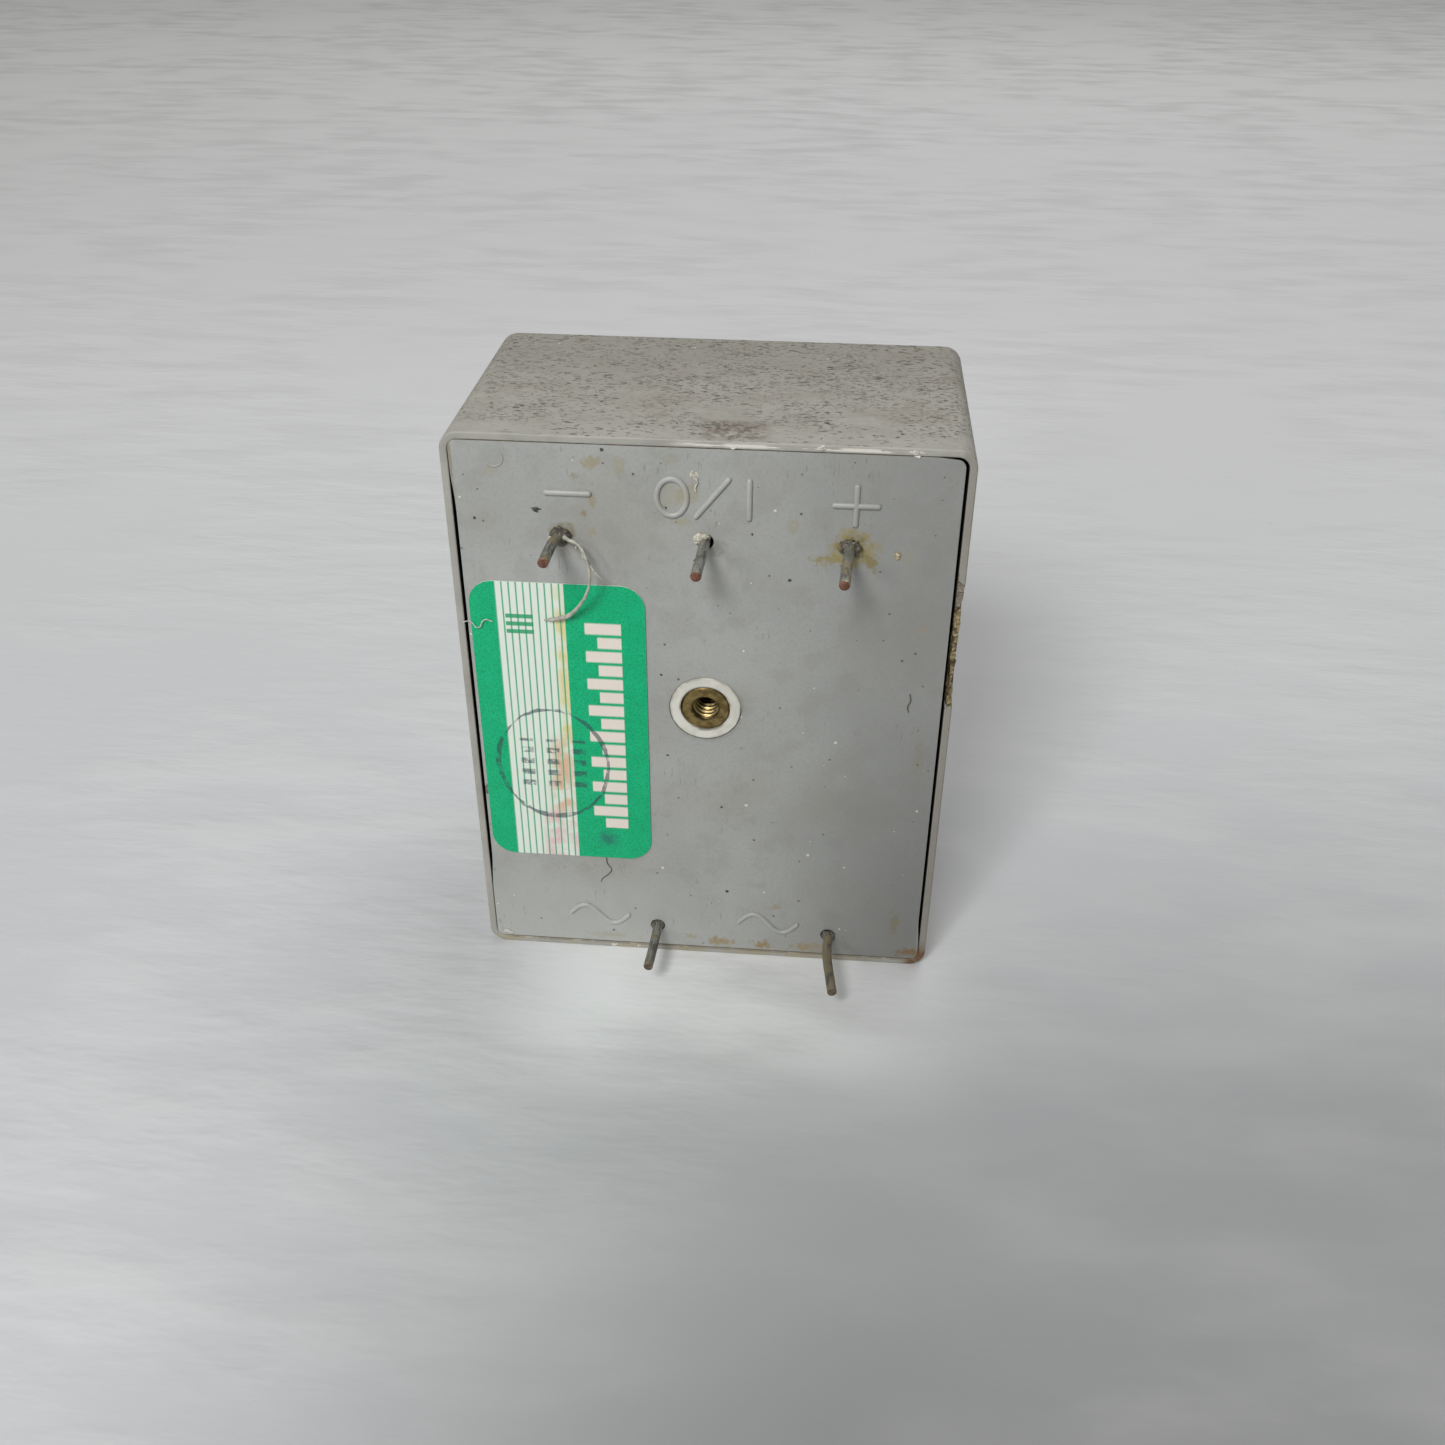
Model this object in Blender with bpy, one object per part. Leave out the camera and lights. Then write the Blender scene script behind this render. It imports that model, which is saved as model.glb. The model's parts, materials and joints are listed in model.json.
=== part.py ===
"""Solid state relay for a printed circuit board, potted in a moulded case that is open on one side.

The relay stands on the end that has its two load pins. A base plate closes the mouth of the case
and faces -Y, with five wire pins and a threaded insert on it. +Z is up, and +X is to the right of
someone who faces the base plate. The origin is the centre of the end that the relay stands on.

Behind the base plate, one circuit board carries the whole circuit, and cast resin fills the rest
of the case. A piece on the board is placed by the (x, z) of its middle. Its own shape is drawn
with y counted from the back of the board, away from the base plate.
"""

import math

import bmesh
import bpy
from mathutils import Vector

MM = 0.001

# Play between two pieces that touch on the real relay, and around a piece that resin flows round.
TIGHT_GAP = 0.1 * MM
CAST_GAP = 0.3 * MM

# Case: a box with thin walls, its mouth towards -Y.
CASE_WIDTH = 45.72 * MM
CASE_HEIGHT = 57.15 * MM
CASE_DEPTH = 27.6 * MM
CASE_WALL = 0.7 * MM
CASE_END_WALL = 1.2 * MM
CASE_CORNER = 1.7 * MM
CORNER_STEPS = 4
MOUTH_Y = -CASE_DEPTH / 2
CLOSED_Y = CASE_DEPTH / 2

# A piece of the rim that has broken away, on the +X wall.
CHIP_LOW_Z = 32.1 * MM
CHIP_HIGH_Z = 44.4 * MM
CHIP_DEPTH = 0.6 * MM

# Base plate: it fills the mouth, with a narrow gap all round.
PLATE_GAP = 0.2 * MM
PLATE_THICKNESS = 1.3 * MM
PLATE_SUNK = 0.05 * MM
PLATE_FACE_Y = MOUTH_Y + PLATE_SUNK
PLATE_BACK_Y = PLATE_FACE_Y + PLATE_THICKNESS
PLATE_MARGIN = CASE_WALL + PLATE_GAP
PLATE_HOLE_RADIUS = 0.75 * MM

# Raised marks: round beads that stand half out of the base plate. A stroke runs between two (x, z)
# places, in millimetres. The plus is an upright and two arms that stop just short of it.
MARK_RADIUS = 0.25 * MM
MARK_SIDES = 6
MINUS = ((-13.8, 51.9), (-10.1, 51.9))
PLUS_UPRIGHT = ((12.95, 53.5), (12.95, 50.0))
PLUS_ARMS = (((11.1, 51.75), (12.75, 51.75)), ((13.15, 51.75), (14.8, 51.75)))
SLASH = ((2.0, 53.7), (-0.8, 50.2))
BAR = ((3.8, 53.6), (3.8, 50.2))
OVAL_MIDDLE = (-2.9 * MM, 51.9 * MM)
OVAL_RADII = (1.3 * MM, 1.7 * MM)
WAVE_MIDDLES = ((-11.05 * MM, 4.5 * MM), (6.45 * MM, 4.5 * MM))
WAVE_WIDTH = 6.0 * MM
WAVE_HEIGHT = 1.1 * MM
WAVE_STEPS = 12

# Pins: tinned copper wire, cut off at the tip. Control pins are near the top, load pins at the foot.
PIN_RADIUS = 0.475 * MM
PIN_SIDES = 8
CONTROL_PIN_Z = 47.8 * MM
LOAD_PIN_Z = 3.35 * MM
PIN_PITCH = 12.7 * MM
LOAD_PIN_X = -5.0 * MM

# Insert in the middle of the base plate, and the nylon sleeve that keeps the resin out of it.
INSERT_Z = 30.48 * MM
INSERT_RADIUS = 2.25 * MM
INSERT_LENGTH = 7.6 * MM
INSERT_BORE_RADIUS = 1.12 * MM
INSERT_BORE_DEPTH = 6.6 * MM
COUNTERSINK_RADIUS = 1.4 * MM
COUNTERSINK_DEPTH = 0.35 * MM
SLEEVE_RADIUS = 3.35 * MM
SLEEVE_INNER_RADIUS = INSERT_RADIUS + 0.15 * MM
SLEEVE_LENGTH = 9.0 * MM
ROUND_SIDES = 32

# Paper label on the base plate.
LABEL_LOW_X = -21.55 * MM
LABEL_HIGH_X = -5.45 * MM
LABEL_LOW_Z = 12.1 * MM
LABEL_HIGH_Z = 43.1 * MM
LABEL_THICKNESS = 0.1 * MM
LABEL_CORNER = 2.3 * MM
GLUE_GAP = 0.04 * MM

# Circuit board.
BOARD_WIDTH = 41.0 * MM
BOARD_LOW_Z = 2.0 * MM
BOARD_HIGH_Z = 54.9 * MM
BOARD_THICKNESS = 1.6 * MM
BOARD_FACE_Y = -9.8 * MM
BOARD_BACK_Y = BOARD_FACE_Y + BOARD_THICKNESS
PIN_HOLE_RADIUS = PIN_RADIUS + TIGHT_GAP
PIN_END_Y = BOARD_BACK_Y + 0.6 * MM
LEAD_RADIUS = 0.3 * MM
LEAD_STICKS_OUT = 0.7 * MM
LEAD_PLAY = 0.12 * MM
LEAD_SIDES = 6
SOLDER_RADIUS = 1.3 * MM
SOLDER_HEIGHT = 0.9 * MM

# Cast resin: a block that fills the case, and a thin layer over the soldered side of the board.
RESIN_FRONT_Y = PLATE_BACK_Y + CAST_GAP
RESIN_BACK_Y = CLOSED_Y - CASE_END_WALL - CAST_GAP
RESIN_MARGIN = CASE_WALL + CAST_GAP
COVER_BACK_Y = BOARD_FACE_Y - SOLDER_HEIGHT - CAST_GAP

# Output triac, standing on the board, and the bent plate that spreads its heat.
TRIAC_X = 9.0 * MM
TRIAC_LEAD_Z = 13.6 * MM
TRIAC_LEAD_PITCH = 2.54 * MM
TRIAC_LEAD_SIZE = Vector((0.8, 0, 0.5)) * MM
TRIAC_HOLE_RADIUS = 0.65 * MM
TRIAC_WIDTH = 10.0 * MM
TRIAC_BODY = Vector((TRIAC_WIDTH, 9.0 * MM, 3.1 * MM))
TRIAC_BODY_Y = 4.4 * MM
TAB_THICKNESS = 1.3 * MM
TAB_LENGTH = 13.7 * MM
TAB_Z = 11.0 * MM
RIVET_Y = 16.0 * MM
RIVET_RADIUS = 1.5 * MM
RIVET_HEAD_RADIUS = 1.95 * MM
RIVET_HEAD_HEIGHT = 0.8 * MM
RIVET_HOLE_RADIUS = 1.85 * MM
SPREADER_WIDTH = 15.0 * MM
SPREADER_THICKNESS = 1.1 * MM
SPREADER_LENGTH = 30.0 * MM

FINISHES = {
    "case_plastic": ("#8F8D86", 0.6, 0.0),
    "plate_plastic": ("#8E908C", 0.5, 0.0),
    "nylon": ("#CFCEC4", 0.55, 0.0),
    "brass": ("#8F7440", 0.35, 1.0),
    "tinned_copper": ("#7C7D78", 0.45, 1.0),
    "label_paper": ("#18AE72", 0.35, 0.0),
    "resin": ("#8A7A55", 0.7, 0.0),
    "board_laminate": ("#7E6A35", 0.5, 0.0),
    "moulded_epoxy": ("#1E1E1E", 0.5, 0.0),
    "aluminium": ("#B9BABC", 0.4, 1.0),
    "capacitor_film": ("#B88A2C", 0.45, 0.0),
    "resistor_enamel": ("#B49A72", 0.5, 0.0),
    "ceramic_coating": ("#3C6FA8", 0.45, 0.0),
    "glass_body": ("#B05A34", 0.15, 0.0),
    "capacitor_sleeve": ("#26324A", 0.4, 0.0),
    "solder": ("#9A9B97", 0.35, 1.0),
}


def linear(hex_colour):
    """The linear colour of an sRGB hex value."""
    channels = [int(hex_colour[i : i + 2], 16) / 255 for i in (1, 3, 5)]
    return [c / 12.92 if c <= 0.04045 else ((c + 0.055) / 1.055) ** 2.4 for c in channels]


def finish(name):
    """The Principled BSDF material of that finish, made once."""
    if name in bpy.data.materials:
        return bpy.data.materials[name]
    colour, roughness, metallic = FINISHES[name]
    material = bpy.data.materials.new(name)
    material.use_nodes = True
    shader = material.node_tree.nodes["Principled BSDF"]
    shader.inputs["Base Color"].default_value = (*linear(colour), 1)
    shader.inputs["Roughness"].default_value = roughness
    shader.inputs["Metallic"].default_value = metallic
    return material


# ---------------------------------------------------------------------------------------------
# Shapes, each as a bmesh


def box(size, middle=(0, 0, 0), corner=0.0, along=None, steps=CORNER_STEPS):
    """A box; the edges that run along one axis (0, 1 or 2) have rounded corners."""
    shape = bmesh.new()
    bmesh.ops.create_cube(shape, size=1)
    bmesh.ops.scale(shape, vec=size, verts=shape.verts)
    if corner:
        edges = [e for e in shape.edges if abs((e.verts[0].co - e.verts[1].co)[along]) > 0]
        round_off(shape, edges, corner, steps)
    bmesh.ops.translate(shape, vec=middle, verts=shape.verts)
    return shape


def box_between(low, high):
    """A box between two corners."""
    low, high = Vector(low), Vector(high)
    return box(high - low, (low + high) / 2)


def round_off(shape, edges, radius, steps=CORNER_STEPS):
    """Rounds those edges of a shape."""
    bmesh.ops.bevel(
        shape, geom=edges, offset=radius, segments=steps, profile=0.5,
        affect="EDGES", clamp_overlap=True,
    )


def turned(profile, sides, axis=1):
    """A profile of (radius, place along the axis) turned round an axis: 0 is X, 1 is Y and 2 is Z.

    A profile that starts and ends on the axis makes a solid; any other is closed into a ring.
    """
    shape = bmesh.new()
    out = (axis + 1) % 3
    corners = []
    for radius, place in profile:
        spot = Vector((0, 0, 0))
        spot[out], spot[axis] = radius, place
        corners.append(shape.verts.new(spot))
    pairs = list(zip(corners, corners[1:]))
    if profile[0][0] > 0:
        pairs.append((corners[-1], corners[0]))
    for pair in pairs:
        shape.edges.new(pair)
    direction = Vector((0, 0, 0))
    direction[axis] = 1
    bmesh.ops.spin(
        shape, geom=shape.verts[:] + shape.edges[:], cent=(0, 0, 0), axis=direction,
        angle=math.tau, steps=sides, use_merge=True,
    )
    bmesh.ops.remove_doubles(shape, verts=shape.verts, dist=0.001 * MM)
    bmesh.ops.recalc_face_normals(shape, faces=shape.faces)
    return shape


def wire(paths, radius, sides, closed=False):
    """Round wires, one along each path of points, with closed ends or as closed loops."""
    curve = bpy.data.curves.new("wire", "CURVE")
    curve.dimensions = "3D"
    curve.bevel_depth = radius
    curve.bevel_resolution = (sides - 4) // 2
    curve.use_fill_caps = not closed
    for path in paths:
        spline = curve.splines.new("POLY")
        spline.points.add(len(path) - 1)
        for point, spot in zip(spline.points, path):
            point.co = (*spot, 1)
        spline.use_cyclic_u = closed
    holder = bpy.data.objects.new("wire", curve)
    mesh = bpy.data.meshes.new_from_object(holder)
    shape = bmesh.new()
    shape.from_mesh(mesh)
    bmesh.ops.remove_doubles(shape, verts=shape.verts, dist=0.001 * MM)
    bmesh.ops.recalc_face_normals(shape, faces=shape.faces)
    bpy.data.objects.remove(holder)
    bpy.data.curves.remove(curve)
    bpy.data.meshes.remove(mesh)
    return shape


def rods(spots, radius, low_y, high_y, sides):
    """Straight round rods along Y, one at each (x, z)."""
    return wire([[(x, low_y, z), (x, high_y, z)] for x, z in spots], radius, sides)


# ---------------------------------------------------------------------------------------------
# Objects


def add(name, shape, finish_name=None, location=(0, 0, 0), parent=None):
    """Makes a bmesh into a named object."""
    mesh = bpy.data.meshes.new(name)
    shape.to_mesh(mesh)
    shape.free()
    if finish_name:
        mesh.materials.append(finish(finish_name))
    mesh.shade_smooth()
    mesh.set_sharp_from_angle(angle=math.radians(35))
    thing = bpy.data.objects.new(name, mesh)
    thing.location = location
    thing.parent = parent
    bpy.context.scene.collection.objects.link(thing)
    return thing


def helper(name, shape, parent=None):
    """A shape that only cuts or joins others."""
    thing = add(name, shape, parent=parent)
    thing.hide_render = True
    thing.display_type = "WIRE"
    return thing


def combine(target, shape, operation):
    """Cuts the shape from the target, or joins it on; the shape is in the target's own axes."""
    modifier = target.modifiers.new(operation.title(), "BOOLEAN")
    modifier.operation = operation
    modifier.solver = "EXACT"
    modifier.object = helper(f"{target.name}_{operation.lower()}", shape, target)


def cut(target, shape):
    """Takes the shape away from the target."""
    combine(target, shape, "DIFFERENCE")


def join(target, shape):
    """Makes the shape one body with the target."""
    combine(target, shape, "UNION")


def world_box(thing):
    """The lowest and highest corner of an object as its modifiers leave it."""
    seen = thing.evaluated_get(bpy.context.evaluated_depsgraph_get())
    corners = [seen.matrix_world @ Vector(corner) for corner in seen.bound_box]
    low = Vector([min(corner[i] for corner in corners) for i in range(3)])
    high = Vector([max(corner[i] for corner in corners) for i in range(3)])
    return low, high


# ---------------------------------------------------------------------------------------------
# Outside pieces


def make_case():
    """The moulded case, with its rounded closed end and the chip in its rim."""
    middle = (0, 0, CASE_HEIGHT / 2)
    shape = box((CASE_WIDTH, CASE_DEPTH, CASE_HEIGHT), middle)
    edges = [e for e in shape.edges if max(v.co.y for v in e.verts) > 0]
    round_off(shape, edges, CASE_CORNER)
    mouth = min(shape.faces, key=lambda face: face.calc_center_median().y)
    bmesh.ops.inset_region(shape, faces=[mouth], thickness=CASE_WALL)
    inside = bmesh.ops.extrude_face_region(shape, geom=[mouth])["geom"]
    bmesh.ops.delete(shape, geom=[mouth], context="FACES")
    floor_points = [item for item in inside if isinstance(item, bmesh.types.BMVert)]
    depth = CASE_DEPTH - CASE_END_WALL
    bmesh.ops.translate(shape, vec=(0, depth, 0), verts=floor_points)
    bmesh.ops.recalc_face_normals(shape, faces=shape.faces)
    case = add("case_shell", shape, "case_plastic")
    inner_x = CASE_WIDTH / 2 - CASE_WALL - PLATE_GAP
    cut(case, box_between(
        (inner_x, MOUTH_Y - CHIP_DEPTH, CHIP_LOW_Z),
        (CASE_WIDTH / 2 + CHIP_DEPTH, MOUTH_Y + CHIP_DEPTH, CHIP_HIGH_Z),
    ))
    return case


def stroke(ends):
    """A straight stroke on the base plate."""
    return [(x * MM, PLATE_FACE_Y, z * MM) for x, z in ends]


def wave(x, z):
    """One period of a sine wave on the base plate, the usual sign for alternating current."""
    turns = [step / WAVE_STEPS for step in range(WAVE_STEPS + 1)]
    return [
        (x + (turn - 0.5) * WAVE_WIDTH, PLATE_FACE_Y, z + WAVE_HEIGHT * math.sin(math.tau * turn))
        for turn in turns
    ]


def oval(x, z):
    """A ring, longer upright, on the base plate."""
    wide, high = OVAL_RADII
    turns = [math.tau * step / WAVE_STEPS for step in range(WAVE_STEPS)]
    return [
        (x + wide * math.cos(turn), PLATE_FACE_Y, z + high * math.sin(turn)) for turn in turns
    ]


def make_base_plate(holes):
    """The plate in the mouth, with holes for the pins and the sleeve, and its raised marks."""
    width = CASE_WIDTH - 2 * PLATE_MARGIN
    height = CASE_HEIGHT - 2 * PLATE_MARGIN
    middle = (0, PLATE_FACE_Y + PLATE_THICKNESS / 2, CASE_HEIGHT / 2)
    corner = CASE_CORNER - PLATE_MARGIN
    plate = add(
        "base_plate", box((width, PLATE_THICKNESS, height), middle, corner, along=1),
        "plate_plastic",
    )
    front, back = PLATE_FACE_Y - CAST_GAP, PLATE_BACK_Y + CAST_GAP
    cut(plate, rods(holes, PLATE_HOLE_RADIUS, front, back, PIN_SIDES))
    cut(plate, rods([(0, INSERT_Z)], SLEEVE_RADIUS + TIGHT_GAP, front, back, ROUND_SIDES))
    marks = [stroke(ends) for ends in (MINUS, PLUS_UPRIGHT, SLASH, BAR)]
    marks += [wave(*middle) for middle in WAVE_MIDDLES]
    join(plate, wire(marks, MARK_RADIUS, MARK_SIDES))
    join(plate, wire([stroke(ends) for ends in PLUS_ARMS], MARK_RADIUS, MARK_SIDES))
    join(plate, wire([oval(*OVAL_MIDDLE)], MARK_RADIUS, MARK_SIDES, closed=True))
    return plate


# Each pin's (x, z) on the board, and then the points that its wire goes through outside, where it
# has been bent a little by hand: (x, reach from the face of the base plate, z), in millimetres.
PINS = {
    "pin_minus": (
        (-PIN_PITCH, CONTROL_PIN_Z),
        [(-12.8, 0, 47.8), (-13.1, 0.9, 47.8), (-13.2, 2.2, 47.9), (-13.2, 6.0, 48.1)],
    ),
    "pin_control": (
        (0, CONTROL_PIN_Z),
        [(0, 0, 47.8), (-0.05, 2.5, 47.8), (-0.19, 6.7, 47.8)],
    ),
    "pin_plus": (
        (PIN_PITCH, CONTROL_PIN_Z),
        [(12.6, 0, 47.8), (12.4, 3.0, 47.75), (12.22, 6.85, 47.65)],
    ),
    "pin_load_left": (
        (LOAD_PIN_X, LOAD_PIN_Z),
        [(-4.95, 0, 3.35), (-5.05, 3.0, 3.35), (-5.23, 6.4, 3.35)],
    ),
    "pin_load_right": (
        (PIN_PITCH, LOAD_PIN_Z),
        [(12.75, 0, 3.3), (12.68, 2.5, 3.3), (12.78, 4.2, 3.3), (13.32, 8.3, 3.2)],
    ),
}


def pin_path(root, route):
    """A pin's line, from behind the board out through the base plate, with its corners cut off."""
    x, z = root
    path = [Vector((x, PIN_END_Y, z)), Vector((x, BOARD_FACE_Y, z))]
    path += [Vector((a * MM, PLATE_FACE_Y - reach * MM, c * MM)) for a, reach, c in route]
    softer = [path[0]]
    for before, after in zip(path, path[1:]):
        softer += [before.lerp(after, 0.25), before.lerp(after, 0.75)]
    return softer + [path[-1]]


def make_pins():
    """The five wire pins."""
    return [
        add(name, wire([pin_path(*line)], PIN_RADIUS, PIN_SIDES), "tinned_copper")
        for name, line in PINS.items()
    ]


def make_insert():
    """The brass insert with its threaded bore, in a nylon cup. It gives the cup."""
    inner_end = PLATE_FACE_Y + INSERT_LENGTH
    bore_end = PLATE_FACE_Y + INSERT_BORE_DEPTH
    insert = turned([
        (0, bore_end),
        (INSERT_BORE_RADIUS, bore_end),
        (INSERT_BORE_RADIUS, PLATE_FACE_Y + COUNTERSINK_DEPTH),
        (COUNTERSINK_RADIUS, PLATE_FACE_Y),
        (INSERT_RADIUS, PLATE_FACE_Y),
        (INSERT_RADIUS, inner_end),
        (0, inner_end),
    ], ROUND_SIDES)
    add("threaded_insert", insert, "brass", (0, 0, INSERT_Z))
    cup_floor = inner_end + TIGHT_GAP
    sleeve = turned([
        (0, cup_floor),
        (SLEEVE_INNER_RADIUS, cup_floor),
        (SLEEVE_INNER_RADIUS, PLATE_FACE_Y),
        (SLEEVE_RADIUS, PLATE_FACE_Y),
        (SLEEVE_RADIUS, PLATE_FACE_Y + SLEEVE_LENGTH),
        (0, PLATE_FACE_Y + SLEEVE_LENGTH),
    ], ROUND_SIDES)
    return add("insert_sleeve", sleeve, "nylon", (0, 0, INSERT_Z))


def make_label():
    """The paper label, glued on the base plate beside the insert."""
    size = (LABEL_HIGH_X - LABEL_LOW_X, LABEL_THICKNESS, LABEL_HIGH_Z - LABEL_LOW_Z)
    middle = (
        (LABEL_LOW_X + LABEL_HIGH_X) / 2,
        PLATE_FACE_Y - GLUE_GAP - LABEL_THICKNESS / 2,
        (LABEL_LOW_Z + LABEL_HIGH_Z) / 2,
    )
    add("paper_label", box(size, corner=LABEL_CORNER, along=1), "label_paper", middle)


# ---------------------------------------------------------------------------------------------
# Pieces on the circuit board: y is 0 on the back of the board, and grows away from the base plate


def leg(x, z, top):
    """A straight lead, down through the board from a body that starts at top."""
    return [(x, top, z), (x, -BOARD_THICKNESS - LEAD_STICKS_OUT, z)]


def hoop(half_span, height, along):
    """A lead that runs out of both ends of a lying body and down through the board."""
    foot = -BOARD_THICKNESS - LEAD_STICKS_OUT
    bend = 0.6 * MM
    flat = [(-half_span, foot), (-half_span, height - bend), (bend - half_span, height)]
    flat += [(-a, y) for a, y in reversed(flat)]
    return [(a, y, 0) if along == 0 else (0, y, a) for a, y in flat]


def lying_body(length, radius, end_radius):
    """The turned profile of a resistor: two thicker ends and a waist."""
    half, end = length / 2, length / 5
    right = [(radius * 0.9, 0), (radius * 0.9, half - 1.4 * end), (radius, half - end)]
    right += [(radius, half - 0.3 * end), (end_radius, half), (0, half)]
    return [(r, -a) for r, a in reversed(right[1:])] + right[1:]


class Axial:
    """A component that lies on the board, with a lead out of each end."""

    def __init__(self, name, spot, along, length, radius, finish_name, height=None, lead=LEAD_RADIUS):
        self.name, self.spot, self.along = name, spot, along
        self.length, self.radius, self.finish_name = length, radius, finish_name
        self.height = height or radius + 0.5 * MM
        self.lead = lead
        self.half_span = length / 2 + 1.4 * MM

    def lead_spots(self):
        """The (x, z) of each lead on the board."""
        x, z = self.spot
        step = (self.half_span, 0) if self.along == 0 else (0, self.half_span)
        return [(x - step[0], z - step[1]), (x + step[0], z + step[1])]

    def make(self, board):
        profile = lying_body(self.length, self.radius, self.radius * 0.55)
        body = turned(profile, 12, self.along)
        bmesh.ops.translate(body, vec=(0, self.height, 0), verts=body.verts)
        thing = add(self.name, body, self.finish_name, (self.spot[0], 0, self.spot[1]), board)
        join(thing, wire([hoop(self.half_span, self.height, self.along)], self.lead, LEAD_SIDES))
        return thing


class Upright:
    """A component that stands on the board, with straight leads under it."""

    def __init__(self, name, spot, body, legs, finish_name, lead=LEAD_RADIUS):
        self.name, self.spot, self.body = name, spot, body
        self.legs, self.finish_name, self.lead = legs, finish_name, lead

    def lead_spots(self):
        """The (x, z) of each lead on the board."""
        return [(self.spot[0] + x, self.spot[1] + z) for x, z, _ in self.legs]

    def make(self, board):
        place = (self.spot[0], 0, self.spot[1])
        thing = add(self.name, self.body(), self.finish_name, place, board)
        paths = [leg(x, z, top) for x, z, top in self.legs]
        join(thing, wire(paths, self.lead, LEAD_SIDES))
        return thing


def film_block():
    """A box-shaped film capacitor, just off the board."""
    size = Vector((13.0, 11.5, 5.5)) * MM
    return box(size, (0, 0.3 * MM + size.y / 2, 0), 0.5 * MM, along=1, steps=2)


def standing_disc(radius, thickness, height, axis):
    """A coated disc that stands on edge."""
    half, edge = thickness / 2, thickness / 4
    profile = [(0, -half), (radius - edge, -half), (radius, -edge)]
    profile += [(r, -a) for r, a in reversed(profile)]
    shape = turned(profile, 20, axis)
    bmesh.ops.translate(shape, vec=(0, height, 0), verts=shape.verts)
    return shape


def varistor_disc():
    """The varistor's disc, across the board."""
    return standing_disc(5.0 * MM, 3.6 * MM, 6.4 * MM, axis=0)


def ceramic_disc():
    """The ceramic capacitor's disc, along the board."""
    return standing_disc(3.2 * MM, 2.4 * MM, 4.4 * MM, axis=2)


def capacitor_can():
    """A small electrolytic can, with the groove of its rolled seal."""
    radius, low, high = 4.0 * MM, 0.3 * MM, 11.8 * MM
    groove_y, groove = low + 1.6 * MM, 0.35 * MM
    return turned([
        (0, low), (radius, low), (radius, groove_y - groove), (radius - groove, groove_y),
        (radius, groove_y + groove), (radius, high - groove), (radius - groove, high), (0, high),
    ], 20)


def transistor_body():
    """A round plastic body with one flat side."""
    shape = turned([(0, 3.0 * MM), (2.4 * MM, 3.0 * MM), (2.4 * MM, 7.8 * MM), (0, 7.8 * MM)], 20)
    cut_faces = shape.verts[:] + shape.edges[:] + shape.faces[:]
    bmesh.ops.bisect_plane(
        shape, geom=cut_faces, plane_co=(0, 0, -1.3 * MM), plane_no=(0, 0, -1), clear_outer=True,
    )
    rim = [edge for edge in shape.edges if edge.is_boundary]
    bmesh.ops.contextual_create(shape, geom=rim)
    bmesh.ops.recalc_face_normals(shape, faces=shape.faces)
    return shape


def coupler_body():
    """A flat plastic body with six legs beside it."""
    size = Vector((8.6, 3.5, 6.4)) * MM
    return box(size, (0, 0.8 * MM + size.y / 2, 0), 0.4 * MM, along=0, steps=1)


def coupler_legs():
    """Each leg of the optocoupler: it leaves the side of the body and turns down."""
    pitch, row, side, top = 2.54 * MM, 3.81 * MM, 2.9 * MM, 2.6 * MM
    foot = -BOARD_THICKNESS - LEAD_STICKS_OUT
    paths = []
    for way in (-1, 1):
        for column in (-pitch, 0, pitch):
            bend = way * (row - 0.25 * MM)
            paths.append([
                (column, top, way * side), (column, top, bend),
                (column, top - 0.3 * MM, way * row), (column, foot, way * row),
            ])
    return paths


def make_optocoupler(board):
    """The optocoupler, which keeps the control side and the load side apart."""
    thing = add(
        "optocoupler", coupler_body(), "moulded_epoxy", (COUPLER_SPOT[0], 0, COUPLER_SPOT[1]), board,
    )
    join(thing, wire(coupler_legs(), 0.25 * MM, LEAD_SIDES))
    return thing


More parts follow.
